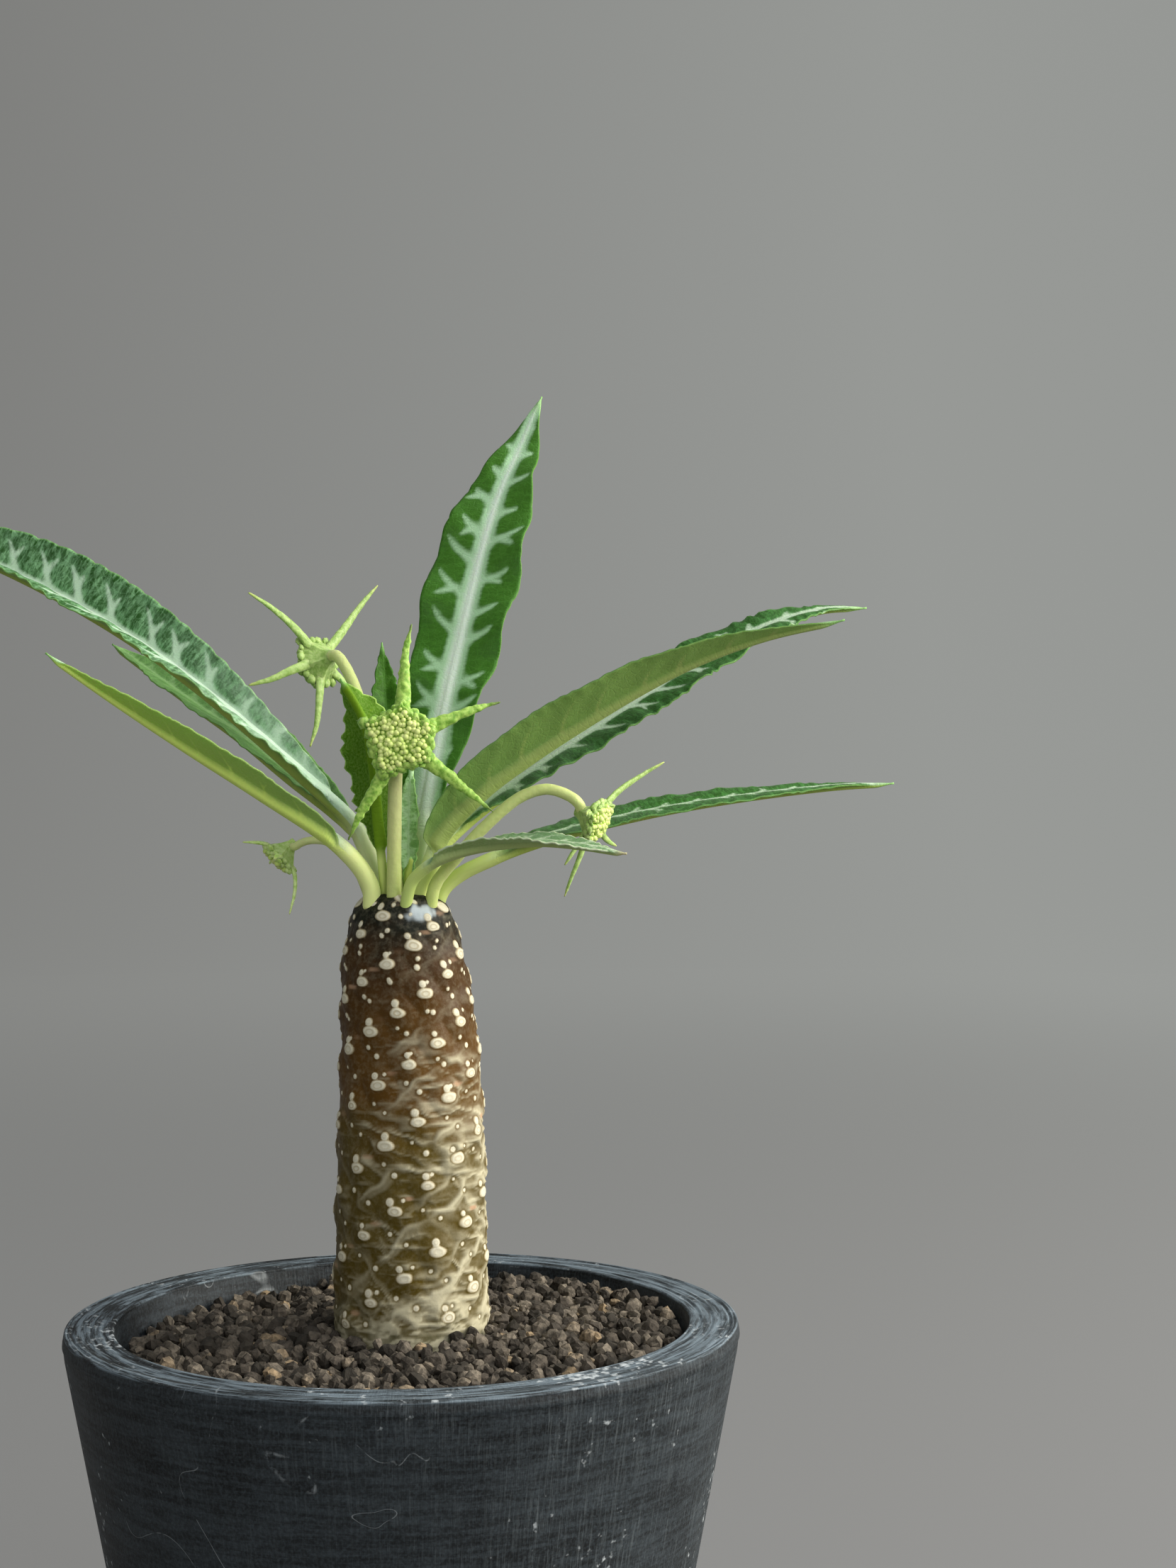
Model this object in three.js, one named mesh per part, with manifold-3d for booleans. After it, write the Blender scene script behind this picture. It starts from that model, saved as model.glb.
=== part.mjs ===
// Potted Dorstenia crispa: a thick scarred stem with a crown of narrow crisped leaves and
// star-shaped flower heads, standing in coarse gravel in a turned dark ceramic pot.
// Millimetres, +Z up. The origin is the centre of the pot's base, +X points to the right of
// the plant's front and +Y to its back.

import * as THREE from 'three';
import { mergeVertices } from 'three/addons/utils/BufferGeometryUtils.js';
import Module from 'manifold-3d';

const wasm = await Module();
wasm.setup();

// Driving sizes

const CLEARANCE = 0.3; // gap kept between pieces that touch

const POT = {
  height: 82,
  rimRadius: 45, // widest, at the foot of the rim band
  topRadius: 44.8,
  bandHeight: 1.84,
  rimWidth: 6.5,
  footRadius: 30,
  footBevel: 1.2,
  floor: 7,
  innerFootRadius: 24.5,
  innerEdge: 0.35, // bevel of the rim's inner edge
  sides: 48,
};

const DRAIN = { count: 3, radius: 3.5, fromAxis: 15, sides: 12 };

const SOIL = {
  level: 79, // mean height of the grains at the pot wall
  tilt: 1.5, // rise towards the right and back of the pot
  tiltAzimuth: 25,
  mound: 1.6, // rise against the stem
  moundReach: 9,
  grain: 4.7, // spacing of the grains
  grainHeight: 1.3,
  wallSlack: 1.1, // the wall leans, so the level gap to it is a little wider than the clearance
  seed: 11,
};

// Shares of a bed of grains: how far each point is nudged, and how high it stands
const BED = { grainNudge: 0.16, hollowNudge: 0.24, grainRise: [0.55, 1], hollowRise: [-0.15, 0.2] };

const STEM = {
  // height and radius of the stem, from the buried taproot to the crown
  profile: [
    [64, 3.2], [67, 6.8], [72, 9.3], [80, 10.3], [88, 10.0], [97, 9.85], [107, 9.6], [116, 9.2],
    [122, 8.8], [126, 8.5], [129.5, 8.1], [132, 7.6], [135, 6.8], [137, 6.2], [138.4, 5.2],
  ],
  top: 138.9,
  crownFlat: 0.6, // share of the crown's radius that is flat on top
  lean: 1.0, // the lower stem stands this far to the right of the crown
  leanFrom: 115,
  leanTo: 136,
  sides: 30,
  rings: 34,
};

// Leaf scars: a spiral of raised cushions, closer together towards the crown
const SCARS = {
  divergence: -139, // degrees from one scar to the next
  columns: 13, // scars from one to the next above it
  lowPitch: 8.7, // height from a scar to the next above it, at the soil
  highPitch: 6.2, // the same at the crown
  pitchFrom: 98,
  pitchTo: 130,
  first: { azimuth: -94, height: 123.8 }, // one scar at the front
  lowest: 83.5, // just above the soil
  highest: 137.5,
  fade: 2.5,
  cushionRadius: 2.7,
  cushionHeight: 0.5,
};

const BLADE = {
  thickness: 0.7,
  rowLength: 3.7,
  strips: 2, // on each side of the midrib
  tipWidth: 0.5, // half width where the blade ends
  fullness: [0.65, 1.1], // blunt below 1 and drawn out above it, at the base and the tip
  waveRise: 1.5, // how fast the margin's wave dies out towards the midrib
  waveLag: 0.37, // of the right margin behind the left, in waves
};

const RIB = {
  sides: 5,
  ringLength: 7.5,
  leastRings: 4,
  tipRadius: 0.35,
  taper: 0.8,
  sink: 0.55, // share of its radius that the rib lies below the blade
  reach: 0.97, // share of the spine where it ends
};

// Leaves. base: where the stalk leaves the crown, as x, y. azimuth: the way the leaf points,
// 0 to the right and 90 to the back. spine: the midrib as reach along that azimuth from base,
// height, and how far it strays to the left. stalk: share of the spine with no blade.
// halfWidth: the blade's, at its widest, which is at the share peak of its length. left, right:
// how far each half turns up from level, at the blade's base and tip, in degrees, as seen from
// the crown. waves: how many along the margin. rise: their height on the left and the right.
const LEAVES = [
  {
    name: 'leaf_left_upper', base: [-2.6, 0.8], azimuth: 163,
    spine: [[-0.4, 137], [0.3, 140.8], [2.1, 145.6], [3.8, 148.6], [12, 155.6], [23, 164.3],
      [34.3, 172.1], [45.8, 178.6], [57.6, 184.1], [66, 187.2], [74, 189.5], [80, 190.6]],
    stalk: 0.1, halfWidth: 6.8, peak: 0.6, left: [8, 4], right: [50, 40],
    waves: 6, rise: [0.25, 0.7], phase: 0.2, ribRadius: 1.15,
  },
  {
    name: 'leaf_left_lower', base: [-4.0, -3.2], azimuth: 187,
    spine: [[-0.2, 137], [-0.2, 140.1], [1.4, 143.6], [4.3, 146.5], [14.1, 152.8], [23.8, 158.8],
      [33.5, 165.1], [42.1, 171]],
    stalk: 0.16, halfWidth: 4.6, peak: 0.45, left: [32, 28], right: [24, 22],
    waves: 5, rise: [0.4, 0.4], phase: 0.5, ribRadius: 1.2,
  },
  {
    name: 'leaf_left_back', base: [-2.2, 3.4], azimuth: 142,
    spine: [[0, 137], [0.6, 140.5], [2.6, 145], [8, 149.2], [18.1, 154.6], [28, 160.2],
      [39.1, 165.7], [55, 174]],
    stalk: 0.2, halfWidth: 6.2, peak: 0.5, left: [20, 16], right: [30, 26],
    waves: 5, rise: [0.6, 0.6], phase: 0.1, ribRadius: 1.05,
  },
  {
    name: 'leaf_back_upright', base: [1.9, 3.4], azimuth: 62,
    spine: [[0, 137], [0.5, 142], [1.4, 148.3], [6.7, 162.8], [12.5, 175.7], [17.5, 185.9],
      [22.5, 194.4], [28.8, 202], [35, 210]],
    stalk: 0.12, halfWidth: 7.3, peak: 0.5, left: [12, 10], right: [12, 10],
    waves: 6, rise: [0.8, 0.8], phase: 0.3, ribRadius: 1.25,
  },
  {
    name: 'leaf_right_arching', base: [2.4, -1.8], azimuth: -6,
    spine: [[-0.5, 137], [-0.2, 140], [0.9, 143], [2.6, 147], [8.3, 152.8], [14, 156.9],
      [22.2, 162], [30.7, 166.8], [37.3, 169.9], [46.1, 172.9], [56.5, 175]],
    stalk: 0.1, halfWidth: 6.4, peak: 0.43, left: [24, 12], right: [56, 16],
    waves: 5, rise: [0.5, 0.3], phase: 0, ribRadius: 1.2,
  },
  {
    name: 'leaf_right_back', base: [3.6, 0.8], azimuth: 21,
    spine: [[-0.4, 137], [-0.1, 141], [0.9, 145], [4.9, 148.9], [13.1, 154.4], [22.8, 160.3],
      [30.3, 164.8], [39.4, 170.2], [49.8, 175.4], [58.7, 177.9], [65.7, 178.3]],
    stalk: 0.12, halfWidth: 6.0, peak: 0.5, left: [30, 26], right: [-20, -12],
    waves: 6, rise: [0.4, 0.3], phase: 0.4, ribRadius: 1.1,
  },
  {
    name: 'leaf_right_narrow', base: [5.4, -0.5], azimuth: 14,
    spine: [[-1, 136.5], [0.1, 139.6], [2.7, 142], [7.4, 144.3], [13.9, 146.4], [24, 148.8],
      [37, 151], [54.8, 152.9], [64.2, 153.3]],
    stalk: 0.16, halfWidth: 3.6, peak: 0.42, left: [30, 20], right: [-12, -6],
    waves: 6, rise: [0.35, 0.35], phase: 0.7, ribRadius: 1.0,
  },
  {
    name: 'leaf_front_short', base: [0.6, -5.2], azimuth: -18,
    spine: [[0.2, 136.5], [0.4, 138.8], [0.9, 140.9], [1.9, 142.2], [3.5, 143.4], [6.7, 144.7],
      [10.6, 145.6], [14.8, 146.1], [19.1, 146.3], [24.7, 145.8], [30.8, 144.8]],
    stalk: 0.2, halfWidth: 3.2, peak: 0.5, left: [20, 22], right: [38, -18],
    waves: 5, rise: [0.3, 0.2], phase: 0.2, ribRadius: 0.8,
  },
  {
    name: 'leaf_front_folded', base: [-2.1, -2.2], azimuth: 262,
    spine: [[0, 137], [0.1, 142, -0.2], [0.4, 149, -0.9], [0.8, 156, -1.4], [1.5, 162, -2.5],
      [3.2, 167.6, -5.2]],
    stalk: 0.22, halfWidth: 4.6, peak: 0.55, left: [56, 40], right: [22, 26],
    waves: 3, rise: [0.4, 0.4], phase: 0.6, ribRadius: 0.6,
  },
  {
    name: 'leaf_back_young', base: [-0.6, 1.4], azimuth: 107,
    spine: [[0, 137], [0.4, 142], [2.2, 149.3], [5.4, 158], [8, 166], [9.6, 173]],
    stalk: 0.24, halfWidth: 3.1, peak: 0.5, left: [30, 26], right: [30, 26],
    waves: 4, rise: [0.3, 0.3], phase: 0.1, ribRadius: 0.6,
  },
  {
    name: 'leaf_centre_young', base: [0.9, -0.1], azimuth: 80,
    spine: [[0, 137], [0.1, 142], [0.3, 148], [0.9, 153], [1.8, 156.6]],
    stalk: 0.12, halfWidth: 1.6, peak: 0.5, left: [30, 30], right: [30, 30],
    waves: 3, rise: [0.2, 0.2], phase: 0.5, ribRadius: 0.5,
  },
  {
    name: 'leaf_bud', base: [0.6, -2.4], azimuth: 320,
    spine: [[0, 137], [0.1, 139.8], [0.4, 142], [1, 144]],
    stalk: 0.3, halfWidth: 0.7, peak: 0.5, left: [35, 30], right: [35, 30],
    waves: 1, rise: [0.1, 0.1], phase: 0, ribRadius: 0.36,
  },
];

// Flower heads. stalk: as a leaf's spine, up to the back of the head. centre: middle of the
// head's face. facing: the way it looks. arms: angle in the face's plane, from its right and
// towards its top, length from the centre, and how far the tip bends towards the face.
const HEAD = {
  plate: 1.2,
  cone: 2.2,
  coneShare: 0.67, // radius of the back's cone at the plate, as a share of the head's
  coneSides: 10,
  stalkDepth: 0.6, // how far the stalk runs into the cone
  outlineSteps: 4,
  rim: 0.6, // green rim round the florets
  floretPitch: 1.45,
  floretHeight: 0.75,
  floretBed: 0.35, // depth of the plate under the head's centre
  padHeight: 0.25,
  seed: 5,
  stalkSides: 6,
  stalkRings: 10,
  armSides: 5,
  armRings: 3,
  armStations: [0, 0.35, 0.7, 1],
  armTaper: 0.9,
  armRoot: 0.5, // share of the corner's radius where an arm's root starts
  armTip: 0.25,
  armDrop: 1.06, // depth of an arm's root under the face, as a share of its radius
  waist: 0.74, // radius between two arms, as a share of the corner's
};

const BLOOMS = [
  {
    name: 'bloom_front', base: [-0.8, -3.8], azimuth: 290, stalkRadius: [1.0, 0.9],
    stalk: [[0, 136.5], [0.1, 142], [0.5, 150], [1.2, 156], [1.9, 158.6]],
    centre: [0.2, -7.9, 159.4], facing: [0, -1, 0.06], radius: 4.8, armRadius: 1.0,
    arms: [[85, 15.6, -1], [23, 14.2, -2], [-36, 15.4, -1.5], [-117, 14.6, -1], [153, 6.4, -1.5]],
  },
  {
    name: 'bloom_left_back', base: [-0.4, 4.7], azimuth: 131, stalkRadius: [0.85, 0.8],
    stalk: [[0, 137], [0.5, 144], [3.4, 152], [7.6, 161], [11.4, 168], [15, 171.4]],
    centre: [-13.3, 19, 170.7], facing: [-0.75, 0.63, -0.21], radius: 3.9, armRadius: 0.85,
    arms: [[49, 13.7, 2.8], [138, 16, -2], [-15, 11.8, 3.3], [-76, 12.6, 1.5], [-138, 7, -0.5]],
  },
  {
    name: 'bloom_right', base: [4.3, -3.6], azimuth: -2, stalkRadius: [0.85, 0.72],
    stalk: [[-0.4, 136.5], [0.4, 140.3], [2.8, 143.4], [6.6, 147.6], [11.6, 151.8], [15.1, 152.9],
      [18, 152.1], [19.4, 151]],
    centre: [26.4, -4.6, 148.8], facing: [0.85, -0.38, -0.36], radius: 3.3, armRadius: 0.72,
    arms: [[40, 14, 2.6], [-30, 7, 2], [-88, 11.5, -0.5], [-116, 7.4, -0.5], [165, 5, 0.8]],
  },
  {
    name: 'bloom_left_low', base: [-5.3, 1.3], azimuth: 166, stalkRadius: [0.6, 0.52],
    stalk: [[-1.4, 136.5], [-0.3, 139.4], [1.2, 142.6], [3.6, 145], [5.5, 145.9], [7.3, 146],
      [8.9, 145.6], [9.8, 145.1]],
    centre: [-17.2, 4.2, 143.4], facing: [-0.68, -0.1, -0.72], radius: 2.6, armRadius: 0.55,
    arms: [[68, 5.4, 2.2], [175, 5, 2], [-72, 6.6, 5], [5, 4, 1], [-140, 4, 0.5]],
  },
];

// Plain tones of the real surfaces
const FINISHES = {
  pot: new THREE.MeshStandardMaterial({ color: '#2b3234', roughness: 0.75, metalness: 0 }),
  soil: new THREE.MeshStandardMaterial({ color: '#4a463f', roughness: 0.95, metalness: 0 }),
  stem: new THREE.MeshStandardMaterial({ color: '#4a3a1c', roughness: 0.6, metalness: 0 }),
  leaf: new THREE.MeshStandardMaterial({ color: '#3f6a1f', roughness: 0.55, metalness: 0 }),
  bloom: new THREE.MeshStandardMaterial({ color: '#8fae4a', roughness: 0.6, metalness: 0 }),
  floret: new THREE.MeshStandardMaterial({ color: '#c3cf86', roughness: 0.7, metalness: 0 }),
};

const UP = new THREE.Vector3(0, 0, 1);
const radians = THREE.MathUtils.degToRad;
const { lerp, smoothstep } = THREE.MathUtils;

// Small seeded generator of numbers from 0 to 1
function seeded(seed) {
  let state = seed;
  return () => {
    state = (state * 1664525 + 1013904223) % 4294967296;
    return state / 4294967296;
  };
}

// Closed geometry to solid and back

function toSolid(geometry) {
  const bare = new THREE.BufferGeometry();
  bare.setAttribute('position', geometry.getAttribute('position').clone());
  if (geometry.index) bare.setIndex(geometry.index.clone());
  const merged = mergeVertices(bare, 1e-4);
  return new wasm.Manifold(new wasm.Mesh({
    numProp: 3,
    vertProperties: new Float32Array(merged.getAttribute('position').array),
    triVerts: new Uint32Array(merged.index.array),
  }));
}

function toGeometry(body) {
  const { vertProperties, triVerts, numProp } = body.getMesh();
  const geometry = new THREE.BufferGeometry();
  const positions = new Float32Array((vertProperties.length / numProp) * 3);
  for (let i = 0; i < positions.length / 3; i += 1) {
    positions.set(vertProperties.slice(i * numProp, i * numProp + 3), i * 3);
  }
  geometry.setAttribute('position', new THREE.BufferAttribute(positions, 3));
  geometry.setIndex(new THREE.BufferAttribute(new Uint32Array(triVerts), 1));
  return geometry;
}

// A cut can leave specks; the piece is its largest body
function largestBody(body) {
  const bodies = body.decompose();
  return bodies.reduce((best, next) => (next.volume() > best.volume() ? next : best));
}

function piece(name, body, material) {
  const geometry = toGeometry(largestBody(body)).toNonIndexed();
  geometry.computeVertexNormals();
  const mesh = new THREE.Mesh(geometry, material);
  mesh.name = name;
  return mesh;
}

// Indexed geometry from a list of points and a list of triangles
function fromTriangles(points, triangles) {
  const geometry = new THREE.BufferGeometry().setFromPoints(points);
  geometry.setIndex(triangles.flat());
  return geometry;
}

// Closed skin over rings of points that all have the same count, with a fan at each end
function loft(rings) {
  const sides = rings[0].length;
  const points = rings.flat();
  const triangles = [];
  for (let i = 0; i + 1 < rings.length; i += 1) {
    for (let j = 0; j < sides; j += 1) {
      const a = i * sides + j;
      const b = i * sides + ((j + 1) % sides);
      triangles.push([a, b, b + sides], [a, b + sides, a + sides]);
    }
  }
  for (const [row, turn] of [[0, -1], [rings.length - 1, 1]]) {
    const centre = new THREE.Vector3();
    rings[row].forEach((p) => centre.addScaledVector(p, 1 / sides));
    const hub = points.push(centre) - 1;
    for (let j = 0; j < sides; j += 1) {
      const a = row * sides + j;
      const b = row * sides + ((j + 1) % sides);
      triangles.push(turn > 0 ? [hub, a, b] : [hub, b, a]);
    }
  }
  return fromTriangles(points, triangles);
}

// Round tube that tapers along a curve
function taperedTube(route, rings, sides, radiusAt) {
  const loops = [];
  for (let i = 0; i <= rings; i += 1) {
    const u = i / rings;
    const { point, normal, left } = frameAt(route, u);
    const loop = [];
    for (let j = 0; j < sides; j += 1) {
      const turn = (j / sides) * Math.PI * 2;
      loop.push(point.clone()
        .addScaledVector(left, -Math.cos(turn) * radiusAt(u))
        .addScaledVector(normal, -Math.sin(turn) * radiusAt(u)));
    }
    loops.push(loop);
  }
  return loft(loops);
}

function vertical(geometry) {
  return geometry.rotateX(Math.PI / 2);
}

// Pot: a turned cone with a flat rim, a low band under it and three drain holes

function potInnerRadius(height) {
  const mouth = POT.topRadius - POT.rimWidth;
  return lerp(POT.innerFootRadius, mouth, (height - POT.floor) / (POT.height - POT.floor));
}

function makePot() {
  const mouth = potInnerRadius(POT.height);
  const profile = [
    [0, 0], [POT.footRadius - POT.footBevel, 0], [POT.footRadius, POT.footBevel],
    [POT.rimRadius, POT.height - POT.bandHeight], [POT.topRadius, POT.height],
    [mouth + POT.innerEdge, POT.height], [mouth, POT.height - POT.innerEdge],
    [POT.innerFootRadius, POT.floor], [0, POT.floor],
  ];
  const turned = new THREE.LatheGeometry(profile.map(([r, z]) => new THREE.Vector2(r, z)), POT.sides);
  let body = toSolid(vertical(turned));
  for (let i = 0; i < DRAIN.count; i += 1) {
    const turn = (i / DRAIN.count) * Math.PI * 2;
    const drill = new THREE.CylinderGeometry(DRAIN.radius, DRAIN.radius, POT.floor * 3, DRAIN.sides);
    vertical(drill).translate(Math.cos(turn) * DRAIN.fromAxis, Math.sin(turn) * DRAIN.fromAxis, 0);
    body = body.subtract(toSolid(drill));
  }
  return piece('pot', body, FINISHES.pot);
}

// Bed of grains: a triangular lattice in which every third point is a raised grain and the
// rest are the hollows between, all nudged at random. It reaches from a flat floor to heightAt.
function grainBed({ halfSize, spacing, floor, heightAt, grainHeight, random }) {
  const step = spacing / Math.sqrt(3);
  const rowStep = step * Math.sqrt(3) / 2;
  const columns = Math.ceil(2 * halfSize / step) + 1;
  const rows = Math.ceil(2 * halfSize / rowStep) + 1;
  const points = [];
  for (let j = 0; j < rows; j += 1) {
    for (let i = 0; i < columns; i += 1) {
      const axial = i - Math.floor(j / 2);
      const isGrain = (((axial - j) % 3) + 3) % 3 === 0;
      const nudge = isGrain ? BED.grainNudge : BED.hollowNudge;
      const x = -halfSize + (i + (j % 2) / 2) * step + (random() - 0.5) * 2 * nudge * step;
      const y = -halfSize + j * rowStep + (random() - 0.5) * 2 * nudge * step;
      const [least, most] = isGrain ? BED.grainRise : BED.hollowRise;
      const rise = lerp(least, most, random());
      points.push(new THREE.Vector3(x, y, heightAt(x, y) + rise * grainHeight));
    }
  }
  const at = (i, j) => j * columns + i;
  const triangles = [];
  for (let j = 0; j + 1 < rows; j += 1) {
    for (let i = 0; i + 1 < columns; i += 1) {
      const [a, b, c, d] = [at(i, j), at(i + 1, j), at(i + 1, j + 1), at(i, j + 1)];
      if (j % 2 === 0) triangles.push([a, b, d], [b, c, d]);
      else triangles.push([a, b, c], [a, c, d]);
    }
  }
  const border = [];
  for (let i = 0; i < columns - 1; i += 1) border.push(at(i, 0));
  for (let j = 0; j < rows - 1; j += 1) border.push(at(columns - 1, j));
  for (let i = columns - 1; i > 0; i -= 1) border.push(at(i, rows - 1));
  for (let j = rows - 1; j > 0; j -= 1) border.push(at(0, j));
  const low = border.map((k) => points.push(points[k].clone().setZ(floor)) - 1);
  const hub = points.push(new THREE.Vector3(0, 0, floor)) - 1;
  border.forEach((k, n) => {
    const next = (n + 1) % border.length;
    triangles.push([k, low[n], low[next]], [k, low[next], border[next]], [hub, low[next], low[n]]);
  });
  return fromTriangles(points, triangles);
}

function soilHeight(x, y) {
  const turn = radians(SOIL.tiltAzimuth);
  const across = (x * Math.cos(turn) + y * Math.sin(turn)) / potInnerRadius(SOIL.level);
  const fromStem = Math.max(0, Math.hypot(x - STEM.lean, y) - stemRadius(SOIL.level));
  return SOIL.level + SOIL.tilt * across + SOIL.mound * Math.exp(-((fromStem / SOIL.moundReach) ** 2));
}

function makeSoil() {
  const bed = toSolid(grainBed({
    halfSize: POT.rimRadius,
    spacing: SOIL.grain,
    floor: POT.floor - 1,
    heightAt: (x, y) => soilHeight(x, y) - SOIL.grainHeight / 2,
    grainHeight: SOIL.grainHeight,
    random: seeded(SOIL.seed),
  }));
  const bottom = POT.floor + CLEARANCE;
  const top = POT.height * 1.05;
  const slack = CLEARANCE * SOIL.wallSlack;
  const cavity = new THREE.LatheGeometry([
    new THREE.Vector2(0, bottom),
    new THREE.Vector2(potInnerRadius(bottom) - slack, bottom),
    new THREE.Vector2(potInnerRadius(top) - slack, top),
    new THREE.Vector2(0, top),
  ], POT.sides);
  const hole = toSolid(stemSkin(CLEARANCE, STEM.rings, STEM.sides));
  return piece('soil', bed.intersect(toSolid(vertical(cavity))).subtract(hole), FINISHES.soil);
}

// Stem

function stemRadius(height) {
  const { profile } = STEM;
  if (height <= profile[0][0]) return profile[0][1];
  for (let i = 1; i < profile.length; i += 1) {
    const [high, radius] = profile[i];
    const [low, before] = profile[i - 1];
    if (height <= high) return lerp(before, radius, (height - low) / (high - low));
  }
  return profile[profile.length - 1][1];
}

function stemAxis(height) {
  return STEM.lean * (1 - smoothstep(height, STEM.leanFrom, STEM.leanTo));
}

function scarPitch(height) {
  return lerp(SCARS.lowPitch, SCARS.highPitch, smoothstep(height, SCARS.pitchFrom, SCARS.pitchTo));
}

// Scars above and below the first one, each a fixed turn and a small step of height further
function scarSpiral() {
  const scars = [];
  for (const way of [1, -1]) {
    let { azimuth, height } = SCARS.first;
    if (way > 0) scars.push({ azimuth, height });
    while (height > SCARS.lowest && height < SCARS.highest) {
      azimuth += way * SCARS.divergence;
      height += way * scarPitch(height) / SCARS.columns;
      scars.push({ azimuth, height });
    }
  }
  return scars;
}

const SPIRAL = scarSpiral();

// Cushions under the scars: rounded bumps that fade out at the soil and on the crown's top
function cushionRise(azimuth, height) {
  let rise = 0;
  for (const scar of SPIRAL) {
    const turn = THREE.MathUtils.euclideanModulo(azimuth - scar.azimuth + 180, 360) - 180;
    const along = radians(turn) * stemRadius(height);
    const away = Math.hypot(along, height - scar.height) / SCARS.cushionRadius;
    if (away < 1) rise = Math.max(rise, SCARS.cushionHeight * Math.cos(away * Math.PI / 2));
  }
  const fromSoil = smoothstep(height, SCARS.lowest, SCARS.lowest + SCARS.fade);
  return rise * fromSoil * (1 - smoothstep(height, SCARS.highest - SCARS.fade, SCARS.highest));
}

// Skin of the stem grown outwards by extra, as rings from the root's end to the crown
function stemSkin(extra, rings, sides, rise = () => 0) {
  const { profile } = STEM;
  const foot = profile[0][0];
  const shoulder = profile[profile.length - 1][0];
  const loops = [];
  for (let i = 0; i <= rings; i += 1) {
    const height = lerp(foot, shoulder, i / rings);
    const lift = i === 0 ? -extra : 0;
    const loop = [];
    for (let j = 0; j < sides; j += 1) {
      const azimuth = (j / sides) * 360;
      const radius = stemRadius(height) + extra + rise(azimuth, height);
      loop.push(new THREE.Vector3(
        stemAxis(height) + radius * Math.cos(radians(azimuth)),
        radius * Math.sin(radians(azimuth)),
        height + lift,
      ));
    }
    loops.push(loop);
  }
  const flat = STEM.crownFlat;
  const crown = loops[rings].map((p) => new THREE.Vector3(p.x * flat, p.y * flat, STEM.top + extra));
  loops[rings].forEach((p) => p.setZ(p.z + extra / 2));
  return loft([...loops, crown]);
}

function makeStem() {
  return piece('stem', toSolid(stemSkin(0, STEM.rings, STEM.sides, cushionRise)), FINISHES.stem);
}

// What the crown takes away from the foot of every stalk
const CROWN_CUT = toSolid(stemSkin(CLEARANCE, STEM.rings, STEM.sides, cushionRise));

// Leaves

// Curve of a leaf or stalk, and the level direction to its left
function routeCurve({ base, azimuth }, route) {
  const turn = radians(azimuth);
  const side = new THREE.Vector3(-Math.sin(turn), Math.cos(turn), 0);
  const points = route.map(([reach, height, aside = 0]) => new THREE.Vector3(
    base[0] + reach * Math.cos(turn),
    base[1] + reach * Math.sin(turn),
    height,
  ).addScaledVector(side, aside));
  return { curve: new THREE.CatmullRomCurve3(points, false, 'centripetal'), side };
}

// Position, upper normal and leftward direction at share u of a curve
function frameAt({ curve, side }, u) {
  const tangent = curve.getTangentAt(u);
  const normal = new THREE.Vector3().crossVectors(tangent, side).normalize();
  return { point: curve.getPointAt(u), normal, left: normal.clone().cross(tangent) };
}

function bladeHalfWidth(leaf, s) {
  const warp = Math.log(0.5) / Math.log(leaf.peak);
  const swell = Math.sin(Math.PI * s ** warp) ** lerp(BLADE.fullness[0], BLADE.fullness[1], s);
  return Math.max(leaf.halfWidth * swell, BLADE.tipWidth);
}

// Where the blade is at share s of its length and t across it, from -1 at the right margin to 1
// at the left, moved by offset along its face. Each half is straight across but for the wave.
function bladePoint(leaf, route, s, t, offset) {
  const { point, normal, left } = frameAt(route, lerp(leaf.stalk, 1, s));
  const half = (way, range) => {
    const turn = radians(lerp(range[0], range[1], s));
    return {
      out: left.clone().multiplyScalar(way * Math.cos(turn)).addScaledVector(normal, Math.sin(turn)),
      face: normal.clone().multiplyScalar(Math.cos(turn)).addScaledVector(left, -way * Math.sin(turn)),
    };
  };
  const leftHalf = half(1, leaf.left);
  const rightHalf = half(-1, leaf.right);
  if (t === 0) {
    const mitre = leftHalf.face.clone().add(rightHalf.face);
    return point.addScaledVector(mitre, offset / (1 + leftHalf.face.dot(rightHalf.face)));
  }
  const { out, face } = t > 0 ? leftHalf : rightHalf;
  const width = bladeHalfWidth(leaf, s);
  const turns = leaf.waves * s + leaf.phase + (t > 0 ? 0 : BLADE.waveLag);
  const wave = leaf.rise[t > 0 ? 0 : 1] * (width / leaf.halfWidth)
    * Math.abs(t) ** BLADE.waveRise * Math.sin(turns * Math.PI * 2);
  return point.addScaledVector(out, width * Math.abs(t)).addScaledVector(face, wave + offset);
}

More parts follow.
